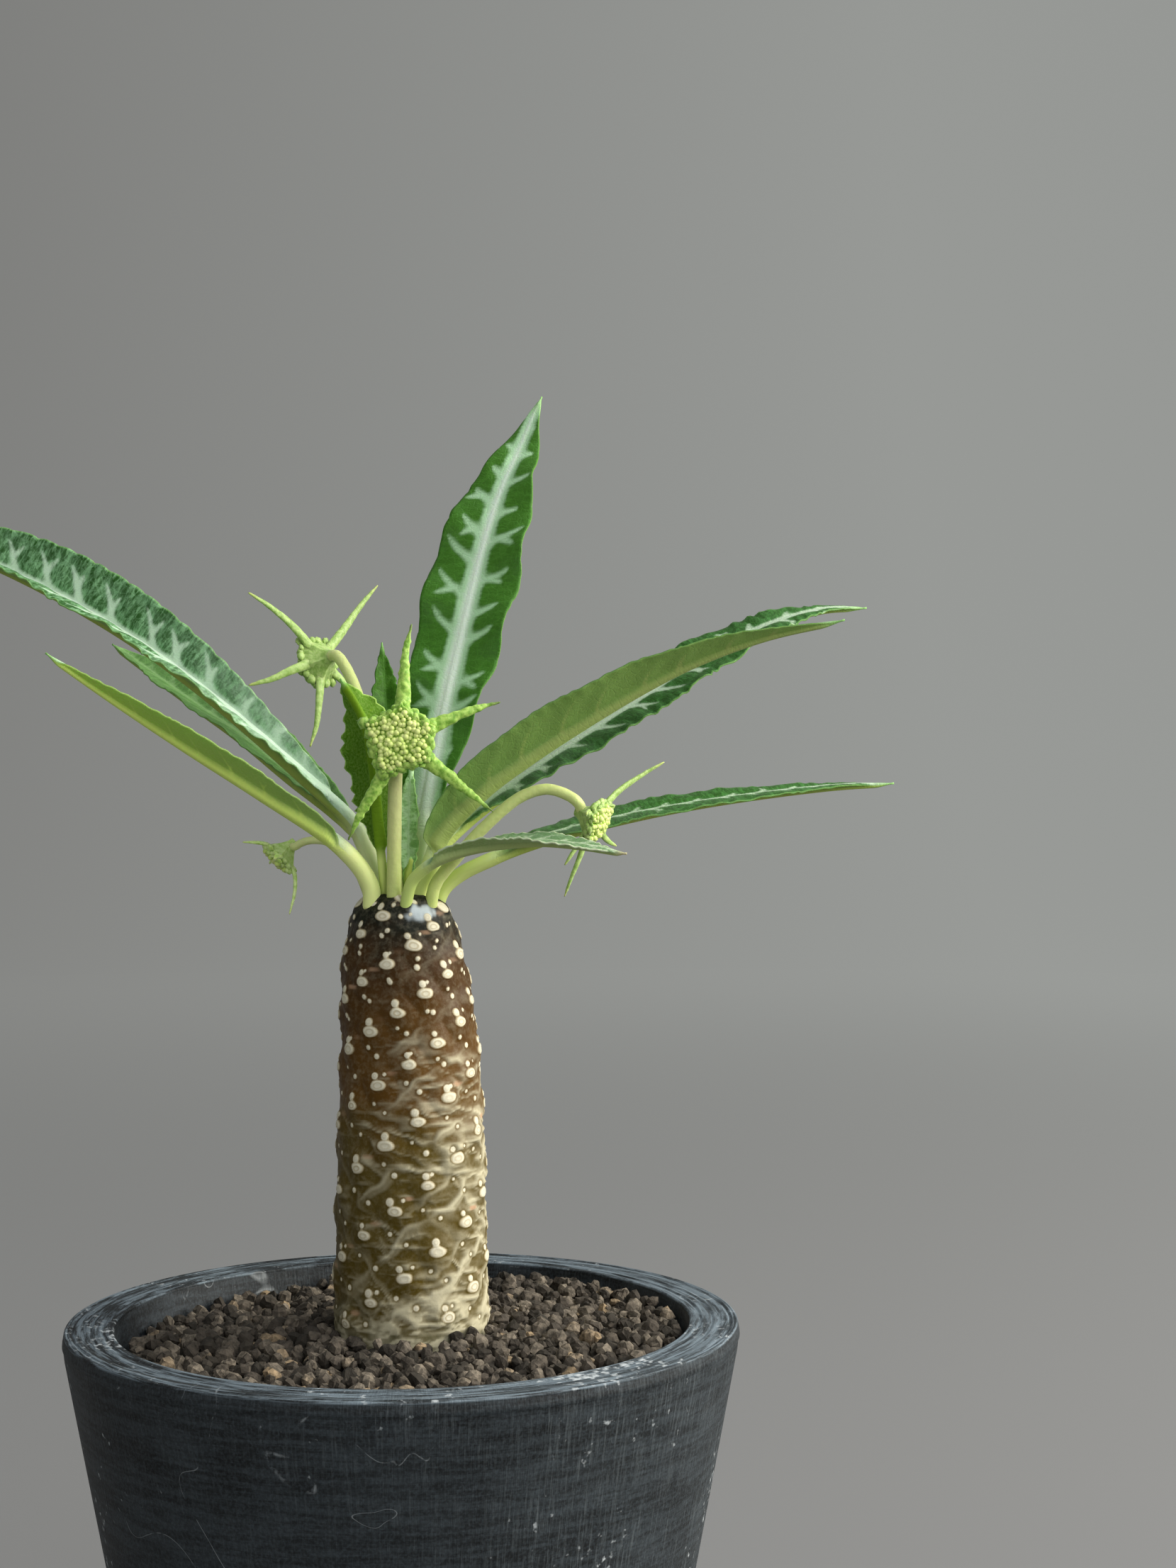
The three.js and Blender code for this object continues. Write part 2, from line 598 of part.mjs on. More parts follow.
// Blade as two like grids of triangles, the upper and the lower face, closed round the margin
function bladeSkin(leaf, route) {
  const columns = BLADE.strips * 2 + 1;
  const rows = Math.round(route.curve.getLength() / BLADE.rowLength) + 1;
  const points = [];
  for (const offset of [BLADE.thickness / 2, -BLADE.thickness / 2]) {
    for (let i = 0; i < rows; i += 1) {
      for (let j = 0; j < columns; j += 1) {
        const t = (j - BLADE.strips) / BLADE.strips;
        points.push(bladePoint(leaf, route, i / (rows - 1), t, offset));
      }
    }
  }
  const lower = rows * columns;
  const at = (i, j) => i * columns + j;
  const triangles = [];
  for (let i = 0; i + 1 < rows; i += 1) {
    for (let j = 0; j + 1 < columns; j += 1) {
      const [a, b, c, d] = [at(i, j), at(i + 1, j), at(i + 1, j + 1), at(i, j + 1)];
      triangles.push([a, b, c], [a, c, d]);
      triangles.push([lower + a, lower + c, lower + b], [lower + a, lower + d, lower + c]);
    }
  }
  const border = [];
  for (let i = 0; i < rows - 1; i += 1) border.push(at(i, 0));
  for (let j = 0; j < columns - 1; j += 1) border.push(at(rows - 1, j));
  for (let i = rows - 1; i > 0; i -= 1) border.push(at(i, columns - 1));
  for (let j = columns - 1; j > 0; j -= 1) border.push(at(0, j));
  border.forEach((a, n) => {
    const b = border[(n + 1) % border.length];
    triangles.push([a, lower + a, lower + b], [a, lower + b, b]);
  });
  return fromTriangles(points, triangles);
}

// Stalk that runs on as the midrib under the blade, thinning to the tip
function ribSkin(leaf, route) {
  const ribRadius = (u) => {
    const along = Math.max(0, (u - leaf.stalk) / (1 - leaf.stalk));
    return lerp(leaf.ribRadius, RIB.tipRadius, along ** RIB.taper);
  };
  const rings = Math.max(RIB.leastRings, Math.round(route.curve.getLength() / RIB.ringLength));
  const sunk = [];
  for (let i = 0; i <= rings; i += 1) {
    const u = (i / rings) * RIB.reach;
    const { point, normal } = frameAt(route, u);
    const sink = RIB.sink * ribRadius(u) * smoothstep(u, 0, leaf.stalk);
    sunk.push(point.addScaledVector(normal, -sink));
  }
  const curve = new THREE.CatmullRomCurve3(sunk, false, 'centripetal');
  return taperedTube({ curve, side: route.side }, rings, RIB.sides, ribRadius);
}

function makeLeaf(leaf) {
  const route = routeCurve(leaf, leaf.spine);
  const blade = toSolid(bladeSkin(leaf, route));
  const rib = toSolid(ribSkin(leaf, route));
  return piece(leaf.name, blade.add(rib).subtract(CROWN_CUT), FINISHES.leaf);
}

// Flower heads

// Turns a head's own frame, face towards +Z, to its place on the plant
function headPlace(bloom) {
  const facing = new THREE.Vector3(...bloom.facing).normalize();
  const top = UP.clone().addScaledVector(facing, -UP.dot(facing)).normalize();
  const right = new THREE.Vector3().crossVectors(top, facing);
  return new THREE.Matrix4().makeBasis(right, top, facing).setPosition(...bloom.centre);
}

// Outline of the face: a corner at each arm, and a hollow curve between two of them
function headOutline(bloom, inset) {
  const turns = bloom.arms.map(([angle]) => radians(angle)).sort((a, b) => a - b);
  const corner = bloom.radius - inset;
  const at = (turn, radius) => [Math.cos(turn) * radius, Math.sin(turn) * radius];
  const shape = new THREE.Shape().moveTo(...at(turns[0], corner));
  turns.forEach((turn, n) => {
    const next = n + 1 < turns.length ? turns[n + 1] : turns[0] + Math.PI * 2;
    const waist = (bloom.radius * HEAD.waist) - inset;
    shape.quadraticCurveTo(...at((turn + next) / 2, waist), ...at(next, corner));
  });
  return shape;
}

// One tapered arm in the head's frame, from inside the plate to its drawn-out tip
function armSkin(bloom, [angle, length, lift]) {
  const turn = radians(angle);
  const out = new THREE.Vector3(Math.cos(turn), Math.sin(turn), 0);
  const side = new THREE.Vector3(-Math.sin(turn), Math.cos(turn), 0);
  const root = bloom.radius * HEAD.armRoot;
  const route = HEAD.armStations.map((share) => out.clone()
    .multiplyScalar(lerp(root, length, share))
    .setZ(lift * share * share - bloom.armRadius * HEAD.armDrop - HEAD.floretBed));
  const radiusAt = (u) => lerp(bloom.armRadius, HEAD.armTip, u ** HEAD.armTaper);
  const curve = new THREE.CatmullRomCurve3(route, false, 'centripetal');
  return taperedTube({ curve, side }, HEAD.armRings, HEAD.armSides, radiusAt);
}

function makeBloom(bloom) {
  const place = headPlace(bloom);
  const plate = new THREE.ExtrudeGeometry(headOutline(bloom, 0), {
    depth: HEAD.plate, bevelEnabled: false, curveSegments: HEAD.outlineSteps,
  }).translate(0, 0, -HEAD.plate - HEAD.floretBed);
  const back = new THREE.CylinderGeometry(
    HEAD.coneShare * bloom.radius, bloom.stalkRadius[1], HEAD.cone, HEAD.coneSides,
  );
  vertical(back).translate(0, 0, -HEAD.floretBed - HEAD.plate / 2 - HEAD.cone / 2);
  let body = toSolid(plate).add(toSolid(back));
  for (const arm of bloom.arms) body = body.add(toSolid(armSkin(bloom, arm)));
  body = toSolid(toGeometry(body).applyMatrix4(place));

  const depth = HEAD.floretBed + HEAD.plate / 2 + HEAD.cone - HEAD.stalkDepth;
  const heel = new THREE.Vector3(0, 0, -depth);
  const { curve: lower, side } = routeCurve(bloom, bloom.stalk);
  const points = [...lower.points, heel.applyMatrix4(place)];
  const curve = new THREE.CatmullRomCurve3(points, false, 'centripetal');
  const radiusAt = (u) => lerp(bloom.stalkRadius[0], bloom.stalkRadius[1], u);
  const stalk = toSolid(taperedTube({ curve, side }, HEAD.stalkRings, HEAD.stalkSides, radiusAt));
  return piece(bloom.name, body.add(stalk).subtract(CROWN_CUT), FINISHES.bloom);
}

// Florets: a thin pad of close-set beads on the face, inside the green rim
function makeFlorets(bloom, index) {
  const beads = toSolid(grainBed({
    halfSize: bloom.radius,
    spacing: HEAD.floretPitch,
    floor: -HEAD.plate,
    heightAt: () => HEAD.padHeight,
    grainHeight: HEAD.floretHeight,
    random: seeded(HEAD.seed + index),
  }));
  const column = new THREE.ExtrudeGeometry(headOutline(bloom, HEAD.rim), {
    depth: HEAD.plate * 3, bevelEnabled: false, curveSegments: HEAD.outlineSteps,
  }).translate(0, 0, CLEARANCE - HEAD.floretBed);
  const pad = beads.intersect(toSolid(column));
  const geometry = toGeometry(largestBody(pad)).applyMatrix4(headPlace(bloom));
  return piece(`${bloom.name}_florets`, toSolid(geometry), FINISHES.floret);
}

const plant = new THREE.Group();
plant.name = 'potted_dorstenia_crispa';
plant.add(makePot(), makeSoil(), makeStem());
LEAVES.forEach((leaf) => plant.add(makeLeaf(leaf)));
BLOOMS.forEach((bloom, index) => plant.add(makeBloom(bloom), makeFlorets(bloom, index)));

export default plant;
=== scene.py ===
"""Looks of a potted Dorstenia crispa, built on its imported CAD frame.

A thick scarred stem stands in grit in a turned charcoal pot. Narrow crisped leaves and
star-shaped flower heads grow from its crown. Lengths are in millimetres until a mesh is
made. Heights start at the pot's base, +X points to the right and +Y to the back.
"""

import logging
from collections.abc import Callable
from dataclasses import dataclass, field
from enum import Enum
from functools import partial

import bpy
import numpy as np
from mathutils import Matrix, Vector


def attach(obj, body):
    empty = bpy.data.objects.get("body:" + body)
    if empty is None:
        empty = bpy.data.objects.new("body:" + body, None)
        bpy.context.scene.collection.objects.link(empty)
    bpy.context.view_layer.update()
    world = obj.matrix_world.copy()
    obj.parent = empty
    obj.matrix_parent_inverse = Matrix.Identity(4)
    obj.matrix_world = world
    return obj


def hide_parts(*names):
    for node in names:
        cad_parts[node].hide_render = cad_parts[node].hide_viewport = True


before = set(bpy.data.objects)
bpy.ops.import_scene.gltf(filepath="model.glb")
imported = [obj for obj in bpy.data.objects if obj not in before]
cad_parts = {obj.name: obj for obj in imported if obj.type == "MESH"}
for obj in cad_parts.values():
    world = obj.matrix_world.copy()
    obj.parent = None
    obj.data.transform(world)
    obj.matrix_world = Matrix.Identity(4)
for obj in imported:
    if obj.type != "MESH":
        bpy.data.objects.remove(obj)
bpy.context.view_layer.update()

Array = np.ndarray
Stations = tuple[tuple[float, ...], ...]
Colour = tuple[float, float, float, float]
Add = Callable[..., bpy.types.Node]

MM = 0.001
log = logging.getLogger("dorstenia")


# Numbers and noise


def linear(colour: str) -> Colour:
    """Turn an sRGB hex colour to linear light.

    Args:
        colour: the colour as "#rrggbb".

    Returns:
        Red, green, blue and alpha in linear light.
    """
    parts = np.array([int(colour[i:i + 2], 16) for i in (1, 3, 5)]) / 255
    light = np.where(parts <= 0.04045, parts / 12.92, ((parts + 0.055) / 1.055) ** 2.4)
    return (*light.tolist(), 1.0)


def lerp(start: Array | float, end: Array | float, share: Array | float) -> Array:
    """The value at that share of the way from start to end."""
    return start + (end - start) * share


def smoothstep(value: Array | float, low: Array | float, high: Array | float) -> Array:
    """Rise from 0 at low to 1 at high: with x the clipped share of the way, 3x² - 2x³."""
    share = np.clip((value - low) / (high - low), 0, 1)
    return share * share * (3 - 2 * share)


def soft_max(first: Array, second: Array, softness: float) -> Array:
    """The larger of two, rounded: half of sum plus the root of (difference² + softness²)."""
    return (first + second + np.sqrt((first - second) ** 2 + softness ** 2)) / 2


def soft_min(distances: list[Array], softness: float) -> Array:
    """The least of several, rounded: -softness times the log of the sum of exp(-d/softness)."""
    return -softness * np.logaddexp.reduce([-d / softness for d in distances])


def noise(points: Array, seed: int) -> Array:
    """Smooth noise from -1 to 1.

    Each whole-numbered corner of space has a value from a scrambled number. A point takes
    the mean of the eight corners round it, weighted by the smoothstep of its place there.

    Args:
        points: places, with x, y and z last.
        seed: picks another field of values.

    Returns:
        One value for each point.
    """
    cell = np.floor(points).astype(np.int64)
    part = points - cell
    part = part * part * (3 - 2 * part)
    total = np.zeros(points.shape[:-1])
    for corner in np.ndindex(2, 2, 2):
        key = (cell + corner) @ np.array([73856093, 19349663, 83492791]) + seed * 2654435
        key = ((key ^ (key >> 13)) * 1274126177) & 0x7FFFFFFF
        value = ((key ^ (key >> 15)) & 0xFFFF) / 32767.5 - 1
        weight = np.where(np.array(corner) > 0, part, 1 - part).prod(axis=-1)
        total += value * weight
    return total


# Meshes


def full_turn(count: int) -> Array:
    """Angles of that many even steps round, in radians."""
    return np.arange(count) / count * 2 * np.pi


def polar(radius: Array | float, turn: Array | float, height: Array | float) -> Array:
    """Points (r cos a, r sin a, z) at a radius r, an angle a and a height z."""
    return np.stack(np.broadcast_arrays(radius * np.cos(turn), radius * np.sin(turn), height), -1)


def grid_quads(rows: int, columns: int, closed: bool) -> Array:
    """Quads of a grid of points.

    Args:
        rows: how many rows of points.
        columns: points in each row.
        closed: whether the last column joins the first.

    Returns:
        Four point numbers a face. They turn so that the normal is columns cross rows.
    """
    index = np.arange(rows * columns).reshape(rows, columns)
    if closed:
        index = np.hstack([index, index[:, :1]])
    corners = (index[:-1, :-1], index[:-1, 1:], index[1:, 1:], index[1:, :-1])
    return np.stack(corners, -1).reshape(-1, 4)


@dataclass
class Skin:
    """A surface in millimetres: points, faces, and values at the points for its material."""

    points: Array
    faces: list[Array]
    marks: dict[str, Array] = field(default_factory=dict)

    @staticmethod
    def joined(skins: list["Skin"]) -> "Skin":
        """One skin that holds several. A mark that one of them lacks is 0 there."""
        starts = np.cumsum([0] + [len(skin.points) for skin in skins])
        faces = [f + start for skin, start in zip(skins, starts) for f in skin.faces]
        marks = {}
        for name in {name for skin in skins for name in skin.marks}:
            like = next(skin.marks[name] for skin in skins if name in skin.marks)
            parts = [s.marks.get(name, np.zeros((len(s.points), *like.shape[1:]))) for s in skins]
            marks[name] = np.concatenate(parts)
        return Skin(np.concatenate([skin.points for skin in skins]), faces, marks)

    @staticmethod
    def tube(rows: Array, marks: dict[str, Array] | None = None) -> "Skin":
        """Closed skin over rings of points, with a fan at each end.

        Args:
            rows: rings of points as rows by columns by three.
            marks: values as rows by columns, or rows by columns by three.

        Returns:
            The skin. The hub of each fan is the middle of its ring.
        """
        count, columns = rows.shape[:2]
        hubs = rows[[0, -1]].mean(axis=1)
        points = np.concatenate([rows.reshape(-1, 3), hubs])
        step = np.arange(columns)
        after = (step + 1) % columns
        last = (count - 1) * columns
        foot = np.stack([np.full(columns, count * columns), after, step], -1)
        head = np.stack([np.full(columns, count * columns + 1), last + step, last + after], -1)
        found = {}
        for name, values in (marks or {}).items():
            flat = values.reshape(count * columns, *values.shape[2:])
            found[name] = np.concatenate([flat, values[[0, -1]].mean(axis=1)])
        return Skin(points, [grid_quads(count, columns, True), foot, head], found)

    def made(self, name: str, finish: "Finish", smooth: bool = True) -> bpy.types.Object:
        """Make the object, with its place in its mesh and its finish on it.

        Args:
            name: the object's name.
            finish: what it is made of.
            smooth: whether light runs smoothly over its faces.

        Returns:
            The new object, at the origin.
        """
        mesh = bpy.data.meshes.new(name)
        sizes = np.concatenate([np.full(len(f), f.shape[1]) for f in self.faces])
        corners = np.concatenate([f.ravel() for f in self.faces]).astype(np.int32)
        mesh.vertices.add(len(self.points))
        mesh.vertices.foreach_set("co", (self.points * MM).astype(np.float32).ravel())
        mesh.loops.add(len(corners))
        mesh.loops.foreach_set("vertex_index", corners)
        mesh.polygons.add(len(sizes))
        starts = np.concatenate([[0], np.cumsum(sizes)[:-1]]).astype(np.int32)
        mesh.polygons.foreach_set("loop_start", starts)
        mesh.polygons.foreach_set("use_smooth", np.full(len(sizes), smooth))
        for mark, values in self.marks.items():
            vector = values.ndim == 2
            layer = mesh.attributes.new(mark, "FLOAT_VECTOR" if vector else "FLOAT", "POINT")
            layer.data.foreach_set("vector" if vector else "value", values.astype(np.float32).ravel())
        mesh.update(calc_edges=True)
        mesh.materials.append(finish.material())
        piece = bpy.data.objects.new(name, mesh)
        bpy.context.scene.collection.objects.link(piece)
        return piece


def ball(divisions: int) -> tuple[Array, Array]:
    """A ball of even faces: the grid on a cube's sides, blown up to radius 1.

    Args:
        divisions: faces along each edge of the cube.

    Returns:
        Points of length 1, and their quads.
    """
    steps = np.linspace(-1, 1, divisions + 1)
    across, along = np.meshgrid(steps, steps)
    one = np.ones_like(across)
    sides = []
    for axis in range(3):
        for way in (1, -1):
            side = np.stack([one * way, across * way, along], -1)
            sides.append(np.roll(side, axis, axis=-1).reshape(-1, 3))
    points, index = np.unique(np.round(np.concatenate(sides), 6), axis=0, return_inverse=True)
    quads = np.concatenate([grid_quads(*across.shape, False) + i * across.size for i in range(6)])
    points = np.tan(points * np.pi / 4)
    return points / np.linalg.norm(points, axis=1)[:, None], index.ravel()[quads]


def lumps(centres: Array, radii: Array, turns: Array, shapes: Array, quads: Array) -> Skin:
    """Many small bodies in one skin.

    Args:
        centres: where each one is, as count by three.
        radii: each one's half sizes along its own axes, as count by three.
        turns: each one's axes as rows, as count by three by three.
        shapes: unit points of each, as count by points by three.
        quads: the faces of one.

    Returns:
        The skin, with the number of each body over their count as the mark "tone".
    """
    count, size = shapes.shape[:2]
    points = np.einsum("nij,nik->njk", (shapes * radii[:, None]).transpose(0, 2, 1), turns)
    points = points + centres[:, None]
    faces = quads[None] + (np.arange(count) * size)[:, None, None]
    tone = np.repeat((np.arange(count) * 0.618) % 1, size)
    return Skin(points.reshape(-1, 3), [faces.reshape(-1, 4)], {"tone": tone})


def random_turns(count: int, random: np.random.Generator) -> Array:
    """Axes of bodies that lie every way: three rows each, from a random unit quaternion."""
    numbers = random.normal(size=(4, count))
    w, x, y, z = numbers / np.linalg.norm(numbers, axis=0)
    rows = [
        [1 - 2 * (y * y + z * z), 2 * (x * y - w * z), 2 * (x * z + w * y)],
        [2 * (x * y + w * z), 1 - 2 * (x * x + z * z), 2 * (y * z - w * x)],
        [2 * (x * z - w * y), 2 * (y * z + w * x), 1 - 2 * (x * x + y * y)],
    ]
    return np.array(rows).transpose(2, 0, 1)


class Route:
    """The curve of a stalk or midrib, a centripetal Catmull-Rom spline through its stations."""

    def __init__(self, points: Array, side: Array) -> None:
        """Sample the curve closely.

        Between two stations the curve is a cubic that meets both. Its slope at each station
        comes from the two spans round it, each timed by the square root of its length.

        Args:
            points: the stations, as count by three.
            side: a level direction to the curve's left.
        """
        ends = [2 * points[0] - points[1]], points, [2 * points[-1] - points[-2]]
        p = np.concatenate(ends)
        time = np.linalg.norm(np.diff(p, axis=0), axis=1)[:, None] ** 0.5
        before, span, after = time[:-2], time[1:-1], time[2:]
        p0, p1, p2, p3 = p[:-3], p[1:-2], p[2:-1], p[3:]
        start = ((p1 - p0) / before - (p2 - p0) / (before + span) + (p2 - p1) / span) * span
        end = ((p2 - p1) / span - (p3 - p1) / (span + after) + (p3 - p2) / after) * span
        t = np.linspace(0, 1, 33)[None, :, None]
        start, end, p1, p2 = (a[:, None] for a in (start, end, p1, p2))
        square, cube = -3 * p1 + 3 * p2 - 2 * start - end, 2 * p1 - 2 * p2 + start + end
        curve = p1 + start * t + square * t ** 2 + cube * t ** 3
        slope = start + 2 * square * t + 3 * cube * t ** 2
        self.points = np.concatenate([curve[:, :-1].reshape(-1, 3), curve[-1, -1:]])
        self.slopes = np.concatenate([slope[:, :-1].reshape(-1, 3), slope[-1, -1:]])
        self.slopes /= np.linalg.norm(self.slopes, axis=1)[:, None]
        steps = np.linalg.norm(np.diff(self.points, axis=0), axis=1)
        self.runs = np.concatenate([[0], np.cumsum(steps)])
        self.length = float(self.runs[-1])
        self.side = side

    @staticmethod
    def stations(base: tuple[float, float], azimuth: float, spine: Stations) -> tuple[Array, Array]:
        """Places of a leaf's or stalk's stations.

        Args:
            base: where it leaves the crown.
            azimuth: the way it points, in degrees from +X towards +Y.
            spine: reach along the azimuth, height, and how far it strays to the left.

        Returns:
            The points, and the level direction to the left.
        """
        turn = np.radians(azimuth)
        ahead = polar(1.0, turn, 0.0)
        side = np.array([-np.sin(turn), np.cos(turn), 0])
        rows = np.array([(*row, 0.0)[:3] for row in spine])
        points = np.array([*base, 0]) + rows[:, :1] * ahead + rows[:, 2:] * side
        return points + rows[:, 1:2] * np.array([0, 0, 1]), side

    def frames(self, share: Array) -> tuple[Array, Array, Array]:
        """Places and directions at shares of the length.

        Args:
            share: from 0 at the foot to 1 at the tip.

        Returns:
            Points, upper normals and directions to the left, each as count by three.
        """
        run = share * self.length
        point = np.stack([np.interp(run, self.runs, self.points[:, i]) for i in range(3)], -1)
        ahead = np.stack([np.interp(run, self.runs, self.slopes[:, i]) for i in range(3)], -1)
        normal = np.cross(ahead, self.side)
        normal /= np.linalg.norm(normal, axis=1)[:, None]
        left = np.cross(normal, ahead)
        return point, normal, left / np.linalg.norm(left, axis=1)[:, None]

    def tube(self, share: Array, wide: Array, thick: Array, sides: int, bump: float, seed: int) -> Skin:
        """A rounded, slightly lumpy rod along the curve.

        At each share the ring is an ellipse, wide to the left and right and thick up and
        down, and each point is pushed out by bump times smooth noise of half a millimetre.

        Args:
            share: where the rings are, from 0 to 1.
            wide: half width at each ring.
            thick: half thickness at each ring.
            sides: points round each ring.
            bump: height of the lumps.
            seed: picks the lumps.

        Returns:
            The skin, with the mark "share".
        """
        point, normal, left = self.frames(share)
        turn = full_turn(sides)
        out = left[:, None] * (np.cos(turn)[:, None] * wide[:, None, None])
        out = out + normal[:, None] * (np.sin(turn)[:, None] * thick[:, None, None])
        rings = point[:, None] + out
        push = 1 + bump * noise(rings * 1.9, seed) / np.maximum(thick, 0.15)[:, None]
        rings = point[:, None] + out * push[..., None]
        return Skin.tube(rings, {"share": np.broadcast_to(share[:, None], rings.shape[:2])})


# Finishes


def feed(tree: bpy.types.NodeTree, node: bpy.types.Node, inputs: dict) -> None:
    """Fill a node's sockets.

    Args:
        tree: the node's tree.
        node: the node.
        inputs: what goes into its sockets, by name or number: a value, a hex colour, a socket
            to link, or a node, whose first output in use is linked.
    """
    for name, value in inputs.items():
        if isinstance(value, bpy.types.Node):
            value = next(socket for socket in value.outputs if socket.enabled)
        if isinstance(value, bpy.types.NodeSocket):
            tree.links.new(value, node.inputs[name])
        else:
            node.inputs[name].default_value = linear(value) if isinstance(value, str) else value


def add_node(tree: bpy.types.NodeTree, kind: str, inputs: dict | None = None,
             **settings: object) -> bpy.types.Node:
    """Add one node with its links and settings.

    A Map Range takes its value as 0, the range it comes from as 1 and 2, and the range it
    goes to as 3 and 4. A Mix of colours takes its factor as 0 and its colours as 6 and 7.

    Args:
        tree: where it goes.
        kind: Blender's name for its type, less the words that all shader nodes share.
        inputs: what goes into its sockets, as feed takes it.
        settings: its properties. "ramp" gives a colour ramp's stops.

    Returns:
        The new node.
    """
    node = tree.nodes.new(f"ShaderNode{kind}")
    for i, (place, colour) in enumerate(settings.pop("ramp", ())):
        stops = node.color_ramp.elements
        stop = stops[i] if i < 2 else stops.new(place)
        stop.position, stop.color = place, linear(colour)
    for name, value in settings.items():
        setattr(node, name, value)
    feed(tree, node, inputs or {})
    return node


class Finish:
    """What a piece is made of. Each kind says in paint how its nodes go."""

    name: str

    def material(self) -> bpy.types.Material:
        """The finish's material, made once."""
        found = bpy.data.materials.get(self.name)
        if found:
            return found
        made = bpy.data.materials.new(self.name)
        made.use_nodes = True
        tree = made.node_tree
        feed(tree, tree.nodes["Principled BSDF"], self.paint(partial(add_node, tree)))
        return made

    def paint(self, add: Add) -> dict:
        """Make the finish's nodes.

        Args:
            add: adds a node to the material's tree.

        Returns:
            What goes into its Principled shader's sockets.
        """
        raise NotImplementedError


@dataclass(frozen=True)
class TurnedStoneware(Finish):
    """Unglazed charcoal stoneware, turned on a lathe: matt and nearly black, with tool lines."""

    name: str = "turned_charcoal_stoneware"
    body: str = "#060809"
    cloud: str = "#1a1e20"
    # Pale bluish grey of scuffs and of the painted sheen on the rim's top.
    worn_and_sheen: str = "#6c7981"
    dust: str = "#858e90"
    chip: str = "#b9c0c2"
    rim_height: float = 81.6
    rim_fade: float = 0.25

    def paint(self, add: Add) -> dict:
        """Clouded body, fine upright scratches, pale turning lines on the rim and pale chips. The rim's
        pale bluish tone is partly scuffing and partly painted sheen, and the side towards the key light
        is paler, partly scuffing and partly painted light.

        The mark "lathe" holds cosine and sine of the azimuth, and height less radius in
        millimetres, so tool lines close round the pot. Turning lines are about 1 mm apart.

        Args:
            add: adds a node to the material's tree.

        Returns:
            What goes into its Principled shader's sockets.
        """
        place = add("TexCoord").outputs["Object"]
        lathe = add("Attribute", attribute_name="lathe").outputs["Vector"]
        height = add("SeparateXYZ", {0: place}).outputs["Z"]
        low, high = self.rim_height * MM, (self.rim_height + self.rim_fade) * MM
        rim = add("MapRange", {0: height, 1: low, 2: high, 3: 0.1})
        cloud = add("TexNoise", {"Vector": place, "Scale": 60.0, "Detail": 7.0, "Roughness": 0.7})
        cloudy = add("MapRange", {0: cloud, 1: 0.4, 2: 0.6})
        clouds = add("Mix", {0: cloudy, 6: self.body, 7: self.cloud}, data_type="RGBA")
        speck = add("TexNoise", {"Vector": place, "Scale": 900.0, "Detail": 2.0, "Roughness": 0.5})
        # Fine sand in the clay, 0.4 mm.
        sand = add("TexNoise", {"Vector": place, "Scale": 2600.0, "Detail": 2.0, "Roughness": 0.6})
        chalk = add("MapRange", {0: sand, 1: 0.42, 2: 0.7, 3: 0.0, 4: 0.13})
        grained = add("Mix", {0: chalk, 6: clouds, 7: self.worn_and_sheen}, data_type="RGBA")
        # The pot is paler towards the front right, where the key light comes from: partly scuffing from
        # use, partly painted light.
        side = add("VectorMath", {0: lathe, 1: (0.94, -0.34, 0.0)}, operation="DOT_PRODUCT")
        rubbed_and_lit = add("MapRange", {0: side, 1: -0.6, 2: 1.0, 3: -0.13, 4: 0.16})
        # Upright scratches are 0.4 mm wide and about 5 mm long.
        upright = add("VectorMath", {0: lathe, 1: (120.0, 120.0, 0.22)}, operation="MULTIPLY")
        scratch = add("TexNoise", {"Vector": upright, "Scale": 1.0, "Detail": 4.0, "Roughness": 0.7})
        patch = add("TexNoise", {"Vector": place, "Scale": 42.0, "Detail": 4.0, "Roughness": 0.62})
        wear_and_lit_side = add("Math", {0: rubbed_and_lit, 1: patch}, operation="ADD")
        worn_and_lit_patch = add("MapRange", {0: wear_and_lit_side, 1: 0.46, 2: 0.64, 3: 0.22, 4: 1.0})
        scratches = add("MapRange", {0: scratch, 1: 0.5, 2: 0.78, 3: 0.0, 4: 0.3})
        smears = add("Math", {0: scratches, 1: worn_and_lit_patch}, operation="MULTIPLY")
        scored = add("Mix", {0: smears, 6: grained, 7: self.dust}, data_type="RGBA")
        # Curved hair scratches follow the level lines of a bent noise, 20 mm across.
        bent = add("TexNoise", {"Vector": place, "Scale": 50.0, "Detail": 1.5, "Distortion": 1.2})
        off = add("Math", {0: bent, 1: 0.55}, operation="SUBTRACT")
        size = add("Math", {0: off}, operation="ABSOLUTE")
        hairs = add("MapRange", {0: size, 1: 0.0035, 2: 0.0, 3: 0.0, 4: 0.36})
        broken = add("MapRange", {0: cloud, 1: 0.53, 2: 0.58})
        hair = add("Math", {0: hairs, 1: broken}, operation="MULTIPLY")
        scratched = add("Mix", {0: hair, 6: scored, 7: self.chip}, data_type="RGBA")
        # Turning lines run round the pot, and show most on the rim. Their pale bluish tone is partly
        # scuffing and partly a painted sheen on the rim's top.
        level = add("VectorMath", {0: lathe, 1: (4.0, 4.0, 1.4)}, operation="MULTIPLY")
        line = add("TexNoise", {"Vector": level, "Scale": 1.0, "Detail": 6.0, "Roughness": 0.72})
        lines = add("MapRange", {0: line, 1: 0.44, 2: 0.57, 3: 0.0, 4: 1.0})
        paled = add("Math", {0: rubbed_and_lit, 1: lines}, operation="ADD")
        rim_wear_and_sheen = add("Math", {0: paled, 1: rim}, operation="MULTIPLY", use_clamp=True)
        turned = add("Mix", {0: rim_wear_and_sheen, 6: scratched, 7: self.worn_and_sheen}, data_type="RGBA")
